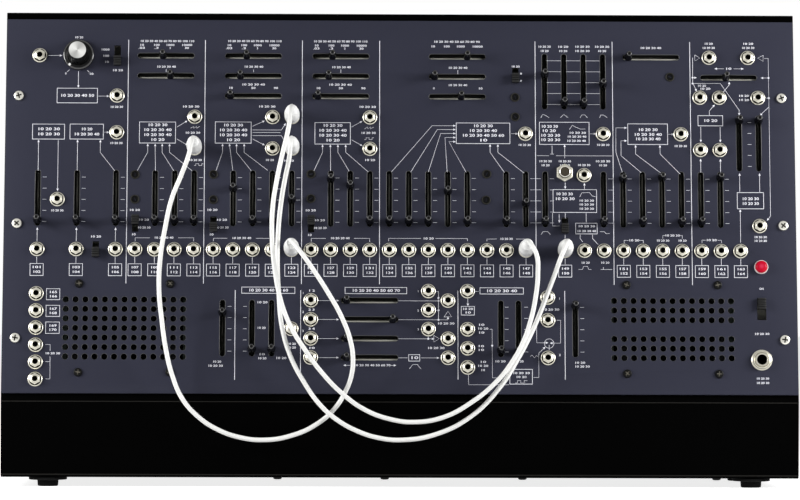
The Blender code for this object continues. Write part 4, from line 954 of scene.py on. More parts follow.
BOXES = [
    (-226.5, 197.7, -199.1, 208.1), (-242.3, 173.3, -220.4, 183.9), (-217.7, 173.4, -194.9, 184),
    (-172.1, 170.9, -147.5, 185.6), (-122.3, 171, -97.8, 185.8), (-56.8, 170.6, -32.6, 185.6),
    (36.2, 171.3, 72.4, 185.7), (91, 170.9, 124.6, 186.4), (149.2, 171.1, 176.3, 185.5),
    (195.6, 183.8, 212.8, 191.2), (220.8, 128.2, 239, 139.6), (99.7, 125.4, 129.2, 141.2),
    (114.4, 111.1, 129.4, 118.8), (-104.2, 70.9, -68.6, 75.6), (-36.7, 70.9, 4.5, 75.6),
    (51.5, 70.9, 80.8, 75.6), (4.9, 26.4, 13, 31.2), (70.8, 11.4, 86.4, 21.7),
    (39.2, 56.9, 48.7, 63.2), (-231.6, 66.3, -222, 74.1), (-231.7, 55.2, -221.9, 63.1),
    (-231.8, 44, -222, 52.1),
]
SOURCE_BOX = (4.75, 82.3, 90.8)
MARKED_JACKS = (28, 29)
boxes = [frame_line(*box) for box in BOXES]
stems = []
for column in MAIN_JACK_COLUMNS:
    if column not in MARKED_JACKS:
        x = column_x(column) / MM
        half, low, high = SOURCE_BOX
        boxes.append(frame_line(x - half, low, x + half, high))
        stems.append([(x, high), (x, high + 4.3)])
printed("circuit_boxes", BOX_WIDTH, boxes)

FLOW_BY_COLUMN = [
    [(0.4, 229.9), (1.14, 229.9)], [(2, 219.2), (2, 208.4)], [(3.03, 202.6), (3.58, 202.6)],
    [(0, 152.3), (0, 172.9)], [(1.01, 173), (1.01, 139)], [(3.36, 178.3), (3.6, 178.3)],
    [(2, 152.4), (2, 173)], [(3.92, 152.5), (3.17, 164.8), (3.17, 173)],
    [(0, 105.4), (0, 114.4)], [(2, 105.4), (2, 114.4)], [(4, 105.4), (4, 114.4)],
    [(7.09, 182), (7.61, 186.1)], [(7.09, 173.9), (7.64, 169.9)],
    [(5.07, 152.5), (5.6, 164.9), (5.6, 170.5)], [(6.01, 152.6), (5.98, 170.5)],
    [(6.95, 152.6), (6.34, 164.9), (6.34, 170.5)], [(7.88, 152.7), (6.72, 165), (6.72, 170.5)],
    [(16.06, 182.4), (16.6, 186.3)], [(16.06, 173.8), (16.61, 169.8)],
    [(14.12, 152.6), (14.57, 165.3), (14.57, 170.4)], [(14.99, 153), (14.97, 170.4)],
    [(15.94, 152.7), (15.36, 165.4), (15.36, 170.4)],
    [(16.93, 152.2), (15.76, 165.4), (15.76, 170.4)],
    [(18.1, 152.2), (20.2, 183.5), (21.4, 183.5)], [(19.1, 152.3), (20.47, 180.9), (21.4, 180.9)],
    [(20, 152.3), (20.64, 178.3), (21.4, 178.3)], [(20.97, 152.3), (20.86, 175.6), (21.4, 175.6)],
    [(21.94, 152.4), (21.06, 172.8), (21.4, 172.8)], [(24.28, 178.3), (24.6, 178.3)],
    [(23.91, 152.2), (23.18, 165.7), (23.18, 171)], [(24.92, 151.9), (23.58, 165.7), (23.58, 171)],
]
FLOW = at_columns(FLOW_BY_COLUMN) + [
    [(-121.2, 152.7), (-117, 165.1), (-117, 170.7)], [(-110.1, 152.8), (-112.5, 170.7)],
    [(-98, 152.8), (-107.8, 165.1), (-107.8, 170.7)],
    [(-87.2, 153.1), (-102.8, 165.1), (-102.8, 170.7)],
    [(-97.4, 182.7), (-89.5, 186.3)], [(-97.3, 174.1), (-89.4, 170)],
    [(-97.4, 180.2), (-78.4, 180.2), (-75.6, 184.6)],
    [(-97.3, 176.4), (-78.4, 176.4), (-75.6, 171.6)],
    [(124.8, 178.4), (128.6, 178.4)], [(108, 161.9), (108, 170.9)],
    [(108.2, 145.7), (108.2, 141.6)],
    [(120.8, 141.3), (120.8, 145.2)], [(104.1, 124.6), (104.1, 119)],
    [(176.4, 178.3), (180, 178.3)],
    [(145.8, 152.7), (141.7, 166), (141.8, 182.5), (148.9, 182.5)],
    [(158.3, 152.4), (145.1, 163.7), (145.1, 173.8), (148.9, 173.8)],
    [(171, 152.3), (154.7, 164.9), (154.7, 170.8)], [(183.8, 151.7), (170.8, 165), (170.8, 170.8)],
    [(193, 230.1), (192.8, 213.2), (195.3, 207.4)],
    [(192.8, 212.6), (211.1, 212.7), (223.3, 194.7), (223.3, 191.3)],
    [(240.4, 229.7), (243, 229.7), (243, 123.7), (240.7, 120.8)],
    [(243, 196.9), (238.3, 192.5), (237.2, 191.1)], [(210.6, 204), (216.9, 211.6), (217, 213.6)],
    [(203.6, 191.2), (203.6, 194.1), (207.1, 198.2)], [(197.8, 183.3), (197.8, 173.2)],
    [(210.6, 183.3), (210.6, 173.2)], [(197.5, 152.6), (197.5, 161.6)],
    [(210.5, 153), (210.5, 161.6)], [(223, 139.7), (223, 152.1)], [(236.1, 139.8), (236.1, 152.1)],
    [(223.1, 105.8), (223.1, 127.9)], [(213.7, 222.6), (207.6, 222.6)],
    [(220, 222.6), (226.4, 222.6)],
    [(-53.7, 66.5), (-40.4, 66.5)], [(-53.7, 54), (-40.4, 54)], [(-53.7, 41.4), (-40.4, 41.4)],
    [(-53.7, 28.8), (-40.4, 28.8)], [(-1.3, 54), (31, 54), (31, 56)], [(-1.3, 41.4), (21.9, 41.4)],
    [(13.3, 28.8), (25.1, 28.8)], [(44, 68), (44, 63.4)],
    [(88.9, 50.2), (88.9, 39), (96.2, 39)], [(86.7, 16.1), (90.2, 16.1), (90.2, 32), (94.4, 36.2)],
    [(102.1, 53.9), (104.6, 53.9), (104.5, 38.8), (97.8, 38.8)],
    [(-32.7, 23.8), (-37, 23.8)], [(-6.4, 23.8), (-3, 23.8)], [(192.8, 216.5), (195.4, 216.5)],
    [(243, 216.5), (238.1, 216.5)],
]
PLAIN_BY_COLUMN = [
    [(1.54, 220.3), (1.42, 218.9)], [(2.45, 220), (2.55, 218.6)],
    [(6.51, 220.8), (6.51, 218.9)], [(15.5, 221.1), (15.5, 218.7)], [(21.53, 221), (21.53, 218.2)],
    [(5.01, 105.6), (5.01, 107.8), (5.75, 107.8)], [(7.2, 107.9), (8, 107.9), (8, 105.7)],
    [(14.01, 105.6), (14.01, 107.8), (14.75, 107.8)], [(16.2, 107.9), (17, 107.9), (17, 105.7)],
    [(17.97, 106.2), (17.97, 108), (19.62, 108)], [(20.37, 108), (22, 108), (22, 106.4)],
    [(23, 106.4), (23, 107.7), (23.5, 107.8)], [(24.5, 107.8), (25, 107.8), (25, 106.4)],
]
PLAIN = at_columns(PLAIN_BY_COLUMN) + stems + [
    [(-96.9, 220.8), (-96.9, 219.1)], [(-97.3, 178.5), (-79, 178.5)],
    [(-122.5, 105.8), (-122.5, 107.7), (-113.5, 107.7)],
    [(-94.6, 107.7), (-84.2, 107.7), (-84.2, 105.8)],
    [(99.7, 164.7), (99.7, 170.5)], [(98.4, 164.7), (101, 164.7)],
    [(89.6, 163.6), (97.5, 163.6)], [(102.3, 163.6), (139.1, 163.6)],
    [(99.7, 125.4), (99.7, 116.6), (104.8, 116.6)], [(108.1, 125.4), (108.1, 121.6)],
    [(121.8, 125.4), (121.8, 118.9)], [(117.8, 111), (117.7, 108.3), (119.4, 106)],
    [(125.9, 111), (125.9, 108.3), (129.6, 104.3)], [(107.9, 110.6), (107.9, 108.3)],
    [(146.6, 105.3), (146.6, 107.1), (149.4, 107.1)],
    [(156.7, 107.1), (159.2, 107.1), (159.2, 105.3)],
    [(172, 108.5), (172, 110.4), (173.7, 110.4)], [(183.4, 110.5), (184.8, 110.5), (184.8, 108.5)],
    [(241.3, 202.9), (243, 202.9)],
    [(197.7, 105.5), (197.7, 107.4), (200.1, 107.4)],
    [(208, 107.4), (210.5, 107.4), (210.5, 105.5)],
    [(-231.3, 36.9), (-228.2, 36.9), (-228.2, 32.8)], [(-231.2, 25.6), (-228.1, 25.6)],
    [(-228.2, 29), (-228.1, 14.3), (-231, 14.3)], [(-1.3, 66.5), (24.8, 66.5)],
    [(24.8, 72.8), (24.8, 54.1)], [(22.9, 72.8), (24.8, 72.8)], [(22.9, 60.3), (24.8, 60.3)],
    [(-1.3, 28.8), (4.6, 28.8)], [(18.1, 43.2), (18.1, 41.4)], [(48.8, 72.9), (51.1, 72.9)],
    [(58.3, 47.8), (59.8, 47.8), (59.9, 15.8), (65.5, 15.8)],
    [(44.2, 17.6), (44.4, 11.2), (70.5, 11.2)],
    [(97, 37.6), (97, 34)], [(194.4, 231.9), (194.4, 227.8), (197.8, 229.8), (194.4, 231.9)],
    [(239.7, 231.8), (239.6, 227.7), (236, 230), (239.7, 231.8)],
    [(28.5, 55.9), (33.4, 56), (31, 59.7), (28.5, 55.9)],
    [(21.7, 43.7), (21.7, 39.2), (25.3, 41.5), (21.7, 43.7)],
]
ENVELOPES = [
    [(92.4, 189.1), (93.6, 191.3), (95, 191), (97.9, 189.2)],
    [(105.3, 189.2), (107.5, 191.4), (110.4, 189.2)],
    [(118.3, 189.2), (119.5, 191.1), (121.5, 191.1), (123.1, 189.2)],
    [(131.1, 189.3), (132, 191.1), (133.7, 191.1), (136.2, 189.3)],
    [(111.2, 181.3), (113.2, 184.1), (115.1, 183), (118.3, 181.6), (121.7, 181.6)],
    [(117.7, 136.1), (119.1, 138.8), (124.2, 139), (125.9, 136.7), (128.1, 136.2)],
    [(92.2, 110.9), (93.5, 112.8), (96.6, 112.8), (98.2, 110.9)],
    [(130.7, 112.9), (133.6, 112.9), (134.7, 111.6), (137.2, 111.6)],
    [(5.8, 21.5), (8, 24.4), (11, 24.4), (13.3, 21.5)],
    [(74.8, 12.4), (76.2, 12.4), (76.2, 14), (78.4, 14), (78.4, 12.4), (80.6, 12.4), (80.6, 14),
     (82.7, 14)],
    [(84.6, 29.9), (85.9, 30.8), (87.3, 29.1), (88.6, 30.6), (89.6, 29.9)],
    [(116.6, 87.7), (119.1, 87.7), (119.9, 89.7), (122.5, 89.7), (123.2, 87.7), (124.9, 87.7)],
    [(131.1, 87.7), (138.7, 87.7)], [(132.8, 87.7), (132.9, 89.2)],
]
WAVES = [
    ("saw", -135.1, 181.7), ("square", -132.5, 156.8), ("saw", -20.7, 181.7),
    ("square", -20.7, 174.6),
]
WAVE_STEPS = {
    "saw": [(-3, -0.5), (-1, 0.7), (-1, -0.5), (1, 0.7), (1, -0.5), (3, 0.7)],
    "square": [(-3, -0.6), (-2, -0.6), (-2, 0.6), (0, 0.6), (0, -0.6), (2, -0.6), (2, 0.6),
               (3, 0.6)],
}
waves = [[(x + dx, s + ds) for dx, ds in WAVE_STEPS[kind]] for kind, x, s in WAVES]
SUMMING_RING = (97, 38.5, 3.1)
ring_x, ring_s, ring_r = SUMMING_RING
ring = []
for index in range(19):
    angle = math.radians(20 * index)
    ring.append((ring_x + ring_r * math.cos(angle), ring_s + ring_r * math.sin(angle)))
printed("signal_lines", SIGNAL_WIDTH, FLOW + PLAIN + ENVELOPES + waves + [ring])

TICK_ROWS = (148.2, 140.7, 133.3, 125.9, 118.6)
SHORT_TICK_ROWS = (62.5, 55.1, 47.7, 40.3, 32.9)
REVERB_TICK_ROWS = (186.4, 179, 171.6, 164.3, 156.9)
ENVELOPE_ROWS = (227.6, 220.2, 212.9, 205.5, 198.1)
SHORT_TICKS = [
    (-112.9, -110.3), (-102.7, -100.4), (68.2, 70.5), (80.9, 83.4), (117.4, 120),
]
ticks = []
for column in INPUT_SLIDERS:
    for s in TICK_ROWS:
        x = column_x(column) / MM
        ticks.append([(x + 3.1, s), (x + 5.7, s)])
for s in TICK_ROWS:
    ticks.append([(86.3, s), (92.2, s)])
    ticks.append([(136.7, s), (139.6, s)])
for s in SHORT_TICK_ROWS:
    for left, right in SHORT_TICKS:
        ticks.append([(left, s), (right, s)])
for s in REVERB_TICK_ROWS:
    ticks.append([(228.6, s), (231.1, s)])
for s in ENVELOPE_ROWS:
    for left, right in ((96.4, 105.8), (109.3, 118.6), (122, 131.5)):
        ticks.append([(left, s), (right, s)])
printed("scale_ticks", TICK_WIDTH, ticks)

bpy.ops.object.select_all(action="DESELECT")
bpy.ops.mesh.primitive_circle_add(vertices=3, radius=1, fill_type="NGON")
arrow = bpy.context.object
arrow.data.materials.append(print_pale)
arrow_tip = Matrix.Translation((0, -ARROW_LENGTH * MM / 2, 0))
arrow_size = Matrix.Diagonal(
    (ARROW_HALF * TRIANGLE_WIDENING * MM, ARROW_LENGTH * MM / TRIANGLE_HEIGHT, 1, 1)
)
heads = []
for line in FLOW:
    (from_x, from_s), (to_x, to_s) = line[-2:]
    turn = math.atan2(to_s - from_s, to_x - from_x) - math.pi / 2
    place = panel_place(to_x * MM, to_s * MM, PRINT_LIFT, turn)
    heads.append(copy_of(arrow, "arrow_head", place @ arrow_tip @ arrow_size))
discard(arrow)
JUNCTIONS = [
    (24.8, 68.5), (24.8, 66.5), (24.8, 60.3), (24.8, 54), (18.1, 41.4), (59.8, 37), (192.8, 216.5),
    (192.8, 212.6), (243, 216.5), (243, 202.9), (79.5, 218.8), (79.5, 214),
]
JUNCTION_R = 0.7 * MM
JUNCTION_SIDES = 8
JUNCTION_LIFT = 1.5 * PRINT_LIFT
bpy.ops.object.select_all(action="DESELECT")
bpy.ops.mesh.primitive_circle_add(vertices=JUNCTION_SIDES, radius=JUNCTION_R, fill_type="NGON")
spot = bpy.context.object
spot.data.materials.append(print_pale)
for x, s in JUNCTIONS:
    heads.append(copy_of(spot, "junction", panel_place(x * MM, s * MM, JUNCTION_LIFT)))
discard(spot)
arrow_heads = joined("arrow_heads", heads)
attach(arrow_heads, "case")


# Panel numbers: the same print, with short rows of plain numbers beside the controls and
# inside the boxes, and dial numbers over the slots.
SMALL_PRINT = 1.95 * MM
SMALL_PITCH = 1.4 * MM
HEADING_PITCH = 1.27 * MM
HEADING_FROM = 20
BOX_PRINT = 2.6 * MM
BOX_PITCH = 1.85 * MM
SOURCE_PRINT = 2.2 * MM
NUMBER_FINENESS = 2
STROKE_WEIGHT = 0.022
ROOM_PER_NUMBER = 2.7
SOURCE_WIDTH = 5.2 * MM
SMALL_BY_COLUMN = [
    (2, 242.1, 4), (4.01, 220, 5), (3.98, 195.3, 6), (3.98, 171, 6), (1, 125.8, 6),
    (2.99, 108.5, 5), (6.55, 239.8, 28), (6.51, 222.5, 9), (7.79, 195.7, 8), (7.9, 178.1, 7),
    (8.05, 159.8, 6), (4.96, 126.3, 5), (5.43, 119.8, 5), (5.46, 114.6, 6), (4.92, 110, 2),
    (6.47, 107.9, 9), (15.48, 240, 28), (15.52, 222.6, 9), (15.47, 210.8, 11), (16.87, 195.9, 8),
    (16.92, 178.4, 7), (17, 160.2, 5), (13.96, 126.4, 5), (14.43, 119.8, 5), (14.46, 114.7, 6),
    (13.92, 110, 2), (15.48, 107.9, 9), (21.48, 240.1, 24), (21.53, 222.5, 9), (21.52, 210.8, 9),
    (24.5, 223.5, 4), (24.95, 170.7, 6), (20, 107.9, 5), (24, 107.8, 6), (11.05, 240, 28),
]
SMALL_PRINT_PLACES = [
    (-96.9, 222.7, 9), (-97, 210.7, 11), (-88, 195.9, 8), (-86, 160, 4), (-73.6, 159.6, 5),
    (-123.5, 126.5, 5), (-117.2, 119.9, 5), (-116.9, 114.8, 6), (-123.9, 110.1, 2),
    (-104.1, 107.8, 9), (95, 237, 6), (95, 234.1, 4), (107.3, 237, 5), (107.3, 234.1, 4),
    (120, 237.1, 7), (120, 234.2, 7), (133, 237.1, 7), (133, 234.2, 4), (133.3, 170.9, 6),
    (95.2, 159.8, 6), (95.2, 157.1, 4), (107.9, 159.8, 6), (107.9, 157.1, 5), (120.6, 157.3, 6),
    (133, 159.9, 7), (133, 157.2, 4), (165.3, 236.4, 10), (184.4, 170.3, 6), (153.1, 107.1, 5),
    (172, 107, 6), (184.8, 107, 4), (178.3, 110.4, 7), (203.6, 239.4, 4), (203.6, 236.6, 6),
    (229.7, 239.5, 5), (229.7, 236.7, 6), (216.5, 222.6, 3), (198.8, 211, 4), (201, 209, 5),
    (226.5, 204.3, 5), (226.5, 201.5, 5), (236.2, 109.5, 6), (236.2, 107, 6), (203.9, 107.4, 5),
    (-226.6, 31.1, 7), (-119.6, 25.9, 4), (-120.6, 23.2, 7), (-90.4, 65.2, 5), (-90.8, 48.3, 4),
    (-90.5, 30.9, 3), (-90.2, 28.2, 4), (-58, 35.1, 3), (29.6, 51.5, 8), (23.1, 35.3, 8),
    (-18.4, 23.8, 17), (43.9, 61.2, 5), (43.9, 58.8, 3), (52.7, 50.7, 3), (53.8, 48.2, 5),
    (52.7, 45.5, 3), (52.4, 36.6, 3), (52.4, 34.1, 3), (53.7, 26.2, 3), (53.7, 23.6, 5),
    (53.7, 20.8, 2), (65, 26.6, 5), (77.4, 26.6, 4), (-77.9, 28.4, 5), (-71, 37.8, 4),
    (-71, 35.3, 4), (117, 25.8, 5), (118.5, 23.3, 7), (236.2, 45.2, 7), (236.3, 15.7, 6),
    (236.3, 12.8, 6), (121.1, 92.1, 4), (134, 92.2, 4), (122, 116.4, 8), (122, 113.2, 9),
    (98.2, 60.9, 8), (116.5, 179, 8), (116, 176.4, 9), (115.7, 173.6, 9), (122.1, 133.5, 7),
    (122.1, 130.9, 7), (122.1, 128.1, 7), (78.7, 18.9, 8), (78.7, 16.3, 5),
]
BOX_ROWS = [
    (-212.8, 202.9, 12), (-231.3, 180.3, 8), (-231.3, 176.9, 8), (-206.3, 180.3, 4),
    (-206.3, 176.9, 9), (98.1, 183.2, 6), (97.6, 180.3, 5), (98.6, 177.2, 7), (98.6, 174.2, 7),
    (162.9, 181.2, 7), (162.9, 178, 10), (162.9, 175, 9), (204.2, 187.5, 5), (229.9, 135.1, 6),
    (229.9, 131.9, 6), (107.6, 137.9, 6), (107.9, 134.7, 7), (-86.4, 73.2, 14),
    (-16.1, 73.2, 17), (66.1, 73.2, 11), (8.9, 28.8, 3), (54.3, 183.4, 7), (54.3, 180.2, 10),
    (54.3, 177, 15), (54.3, 173.8, 3),
]
for x in (-159.8, -110.1, -44.7):
    BOX_ROWS += [(x, 183.3, 7), (x, 180, 10), (x, 176.7, 10), (x, 173.4, 5)]
DIAL_NUMBERS = []
for middle in (6.5, 11, 15.5):
    for offset, high, low in ((-1.26, "10", ".03"), (-0.5, "100", ".3"), (0.2, "1000", "3"),
                              (1.06, "10000", "30")):
        DIAL_NUMBERS += [(middle + offset, 237.2, high), (middle + offset, 235.2, low)]
for middle in (11, 15.5):
    for offset, text in ((-1.16, "10"), (0, "50"), (1.16, "90")):
        DIAL_NUMBERS.append((middle + offset, 208.4, text))
DIAL_NUMBERS += [
    (1.35, 217.7, "0"), (2.66, 217.5, "10"), (20.25, 236.9, "10"), (20.95, 236.9, "100"),
    (21.67, 236.9, "1000"), (22.54, 236.9, "10000"), (20.29, 208.6, "0"), (22.69, 208.6, "10"),
    (3.36, 233.9, "1000"), (3.4, 229.7, "100"), (3.44, 225.6, "10"), (13.61, 71.4, "1"),
    (13.61, 58.9, "2"), (13.61, 46.3, "3"), (14.04, 73, "1 2"), (14.04, 60.4, "2 3"),
    (14.04, 47.8, "3 4"), (19.48, 72.8, "1"), (19.48, 60, "2"), (19.48, 47.5, "3"),
    (26.7, 68.2, "1"), (26.7, 30.9, "2"), (37.04, 75.1, "ON"),
]
number_shapes = {}


def number_shape(text, size, width):
    """Flat mesh of a short text, stretched to a width, made once for each kind."""
    if (text, size, width) not in number_shapes:
        figures = bpy.data.curves.new("numbers", "FONT")
        figures.body = text
        figures.size = size
        figures.align_x = "CENTER"
        figures.align_y = "CENTER"
        figures.resolution_u = NUMBER_FINENESS
        figures.offset = STROKE_WEIGHT * size
        figures.materials.append(print_pale)
        shape = bpy.data.objects.new("numbers", figures)
        bpy.context.scene.collection.objects.link(shape)
        only(shape)
        bpy.ops.object.convert(target="MESH")
        shape = bpy.context.object
        reach = max(abs(vertex.co.x) for vertex in shape.data.vertices)
        if len(text) > 1:
            shape.data.transform(Matrix.Diagonal((width / 2 / reach, 1, 1, 1)))
        number_shapes[text, size, width] = shape
    return number_shapes[text, size, width]


def counting(length, size, pitch):
    """Row of tens as long as so many characters."""
    steps = max(1, round((length + 1) / ROOM_PER_NUMBER))
    text = " ".join(str(10 * (index + 1)) for index in range(steps))
    return number_shape(text, size, length * pitch)


numbers = []
for column, s, length in SMALL_BY_COLUMN:
    shape = counting(length, SMALL_PRINT, HEADING_PITCH if length > HEADING_FROM else SMALL_PITCH)
    numbers.append(copy_of(shape, "numbers", panel_place(column_x(column), s * MM, PRINT_LIFT)))
for x, s, length in SMALL_PRINT_PLACES:
    shape = counting(length, SMALL_PRINT, SMALL_PITCH)
    numbers.append(copy_of(shape, "numbers", panel_place(x * MM, s * MM, PRINT_LIFT)))
for column, s, text in DIAL_NUMBERS:
    shape = number_shape(text, SMALL_PRINT, len(text) * SMALL_PITCH)
    numbers.append(copy_of(shape, "numbers", panel_place(column_x(column), s * MM, PRINT_LIFT)))
for x, s, length in BOX_ROWS:
    shape = counting(length, BOX_PRINT, BOX_PITCH)
    numbers.append(copy_of(shape, "numbers", panel_place(x * MM, s * MM, PRINT_LIFT)))
number = 1
SOURCE_ROWS = ((88.1 * MM, 85.0 * MM), (71.6 * MM, 68.8 * MM), (60.5 * MM, 57.7 * MM),
               (49.4 * MM, 46.6 * MM))
source_places = [(column_x(column), SOURCE_ROWS[0]) for column in MAIN_JACK_COLUMNS
                 if column not in MARKED_JACKS]
source_places += [(-226.8 * MM, rows) for rows in SOURCE_ROWS[1:]]
for x, rows in source_places:
    for s in rows:
        shape = number_shape(str(100 + number), SOURCE_PRINT, SOURCE_WIDTH)
        numbers.append(copy_of(shape, "numbers", panel_place(x, s, PRINT_LIFT)))
        number += 1
for shape in number_shapes.values():
    discard(shape)
panel_numbers = joined("panel_numbers", numbers)
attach(panel_numbers, "case")


# Panel screws: six bright cross-head screws hold the panel to the flanges of the case, and
# eight black ones hold the two speakers behind it.
screw_bright = finish_of("screw_bright", srgb(206, 204, 195), 0.1, 0.28, 0.1, 0.3 * MM,
                         0.003 * MM, metallic=1.0)
PANEL_SCREWS = [(side * 251.2, s) for side in (-1, 1) for s in (202.6, 117.1, 41.2)]
SPEAKER_SCREWS = [
    (-210, 77.3), (-150.5, 77.3), (-210, 18.7), (-150.4, 19),
    (147.9, 77.4), (207.7, 77.5), (148, 18.7), (207.9, 18.6),
]
BRIGHT_SCREW_SCALE = 1.19
# Painted shade: the cross recesses of the bright screws are dark brown, for the shade inside them.
recess_painted_shade = finish_of("recess_painted_shade", srgb(40, 37, 31), 0.2, 0.6, 0.1, 0.3 * MM, 0.002 * MM,
                        specular=0.03)
bright_screw = cross_head_screw("bright_screw", screw_bright, recess_painted_shade, CROSS_DEPTH)
bright_screw.data.transform(Matrix.Scale(BRIGHT_SCREW_SCALE, 4))
heads = []
for index, (x, s) in enumerate(PANEL_SCREWS):
    turn = math.radians(17 + 31 * index)
    heads.append(copy_of(bright_screw, "panel_screw", panel_place(x * MM, s * MM, 0, turn)))
discard(bright_screw)
panel_screws = joined("panel_screws", heads)
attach(panel_screws, "case")
heads = []
for index, (x, s) in enumerate(SPEAKER_SCREWS):
    turn = math.radians(8 + 37 * index)
    heads.append(copy_of(black_screw, "speaker_screw", panel_place(x * MM, s * MM, 0, turn)))
discard(black_screw)
speaker_screws = joined("speaker_screws", heads)
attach(speaker_screws, "case")


# Trimmer caps: eleven small black plastic caps with a screwdriver slot, pressed into holes
# of the panel over the trimming resistors.
TRIMMER_CAPS = [
    (-174.2, 150), (-174.2, 133.5), (-122.8, 150.3), (-122.8, 133.4), (-58.8, 150.7),
    (-58.8, 134.3), (56.7, 151.1), (56.2, 133.7), (75.5, 202.7), (75.5, 189.6), (177.8, 216.8),
]
trimmer_black = finish_of("trimmer_black", srgb(13, 13, 13), 0.2, 0.4, 0.1, 0.4 * MM,
                          0.006 * MM, specular=0.06)
# Painted highlight: the rim of each cap is lighter than its middle, standing in for the light it
# catches.
trimmer_rim_painted_highlight = finish_of("trimmer_rim_painted_highlight", srgb(47, 46, 42), 0.2, 0.4, 0.1, 0.4 * MM,
                         0.006 * MM, specular=0.06)
TRIMMER_RIM_R = 2.35 * MM
TRIMMER_GROOVE = (0.5 * MM, 2.6 * MM, 0.7 * MM)
TRIMMER_CAP = [
    (2.9, -1.2), (2.9, 0.0), (3.0, 0.15), (2.9, 0.6), (2.6, 0.85), (2.3, 0.75), (2.05, 0.35),
    (1.9, 0.25), (0.0, 0.2),
]
cap = turned("trimmer_cap", in_mm(TRIMMER_CAP), 20, trimmer_black)
second_finish(cap, trimmer_rim_painted_highlight, lambda radius, height: radius > TRIMMER_RIM_R)
groove = block(TRIMMER_GROOVE)
groove.data.materials.append(trimmer_black)
cut_with(cap, groove)
round_off(cap)
caps = []
for index, (x, s) in enumerate(TRIMMER_CAPS):
    turn = math.radians(25 * index)
    caps.append(copy_of(cap, "trimmer_cap", panel_place(x * MM, s * MM, 0, turn)))
discard(cap)
trimmer_caps = joined("trimmer_caps", caps)
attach(trimmer_caps, "case")


# Control board: the green circuit board behind the panel with the steel bodies of the slide
# pots and switches, black jack bodies, posts to the panel and blocks of parts on its back.
BOARD_FACE = -11 * MM
BOARD_BACK = -12.6 * MM
BOARD_CUT = -3.9 * MM
BOARD_MIDDLE = 130 * MM
JACK_BODY_REACH = 6.3 * MM
board_green = finish_of("board_green", srgb(12, 44, 26), 0.2, 0.4, 0.12, 0.8 * MM, 0.01 * MM)
pot_steel = finish_of("pot_steel", srgb(176, 175, 166), 0.14, 0.5, 0.12, 0.5 * MM, 0.004 * MM,
                      specular=0.02)
# Painted shade: a near-black colour for the pot lids where the slots shade them.
lid_painted_shade = finish_of("lid_painted_shade", srgb(16, 16, 15), 0.2, 0.6, 0.1, 0.5 * MM, 0.004 * MM,
                       specular=0.02)
block_black = finish_of("block_black", srgb(18, 18, 19), 0.25, 0.5, 0.12, 0.6 * MM, 0.01 * MM,
                        specular=0.15)
board = carried_over("control_board", "board_with_parts", 0, board_green)
for finish in (pot_steel, block_black):
    board.data.materials.append(finish)
board.data.transform(from_panel)
slab = block((1, 1, 1), (0, BOARD_MIDDLE, BOARD_CUT - 0.5))
cut_with(board, slab, "INTERSECT")
for face in board.data.polygons:
    x, s, h = face.center
    if h < BOARD_BACK - WELD_GAP:
        face.material_index = 2
    elif h > BOARD_FACE + WELD_GAP:
        near_jack = any(math.hypot(x - jack_x, s - jack_s) < JACK_BODY_REACH
                        for jack_x, jack_s in jack_places)
        face.material_index = 2 if near_jack else 1
    else:
        face.material_index = 0
board.data.transform(PANEL_FRAME)
round_off(board)
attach(board, "case")
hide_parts("control_board")

POT_LENGTH = 43.8 * MM
POT_WIDTH = 8.4 * MM
POT_LID = 0.5 * MM
LID_HEIGHT = -2.4 * MM
LID_SHADE_EDGE = -0.5 * MM
POT_SLIT = (0.95 * MM, 34.6 * MM)
POT_SLIT_SIDES = 8
# Painted shade: in the slots that run across, the part of each lid above a line just below its
# slit is near black, and in the upright slots the whole lid is.
lid = block((POT_WIDTH, POT_LENGTH, POT_LID))
lid.data.materials.append(pot_steel)
slit = slot_mill(*POT_SLIT, sides=POT_SLIT_SIDES)
cut_with(lid, slit)
only(lid)
bpy.ops.object.mode_set(mode="EDIT")
bpy.ops.mesh.select_all(action="SELECT")
bpy.ops.mesh.bisect(plane_co=(LID_SHADE_EDGE, 0, 0), plane_no=(1, 0, 0))
bpy.ops.object.mode_set(mode="OBJECT")
lid.data.materials.append(lid_painted_shade)
for face in lid.data.polygons:
    if face.center.x > LID_SHADE_EDGE:
        face.material_index = 1
lids = []
for x, s, turn in slot_places:
    lid.data.materials[0] = pot_steel if turn else lid_painted_shade
    lids.append(copy_of(lid, "pot_lid", panel_place(x, s, LID_HEIGHT, turn)))
discard(lid)
pot_lids = joined("pot_lids", lids)
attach(pot_lids, "case")


# Mini jacks: 82 nickelled 3.5 mm jacks, each held in its panel hole by a round washer and a
# hexagon nut on a threaded bush. The bore below its mouth and the washer's inner ring round the
# nut are painted dark as painted shade.
jack_nickel = finish_of("jack_nickel", srgb(190, 187, 174), 0.1, 0.3, 0.12, 0.3 * MM,
                        0.003 * MM, metallic=1.0)
jack_painted_shade = finish_of("jack_painted_shade", srgb(20, 15, 12), 0.2, 0.5, 0.1, 0.3 * MM, 0.003 * MM,
                      specular=0.05)
JACK_WASHER = [
    (3.0, 0.0), (4.85, 0.0), (4.87, 0.2), (4.68, 0.45), (4.4, 0.64), (4.22, 0.68), (4.14, 0.62),
    (4.08, 0.3), (3.0, 0.25),
]
WASHER_SHADE_R = 4.16 * MM
JACK_BUSH = [
    (2.9, -10.6), (2.9, 0.5), (2.6, 0.6), (2.6, 2.85), (2.1, 3.18), (1.95, 3.2), (1.78, 3.0),
]
JACK_BORE = [(1.78, 3.0), (1.78, -9.6), (0, -9.7)]
BRIGHT_MOUTH = 0.5 * MM
NUT_FLAT = 6.6
NUT_FOOT = 0.5
NUT_TOP = 2.55
NUT_TURN_DOWN = 0.6
NUT_LAND = 0.5
NUT_THREAD = [(2.5, -1), (2.5, 4), (0, 4)]


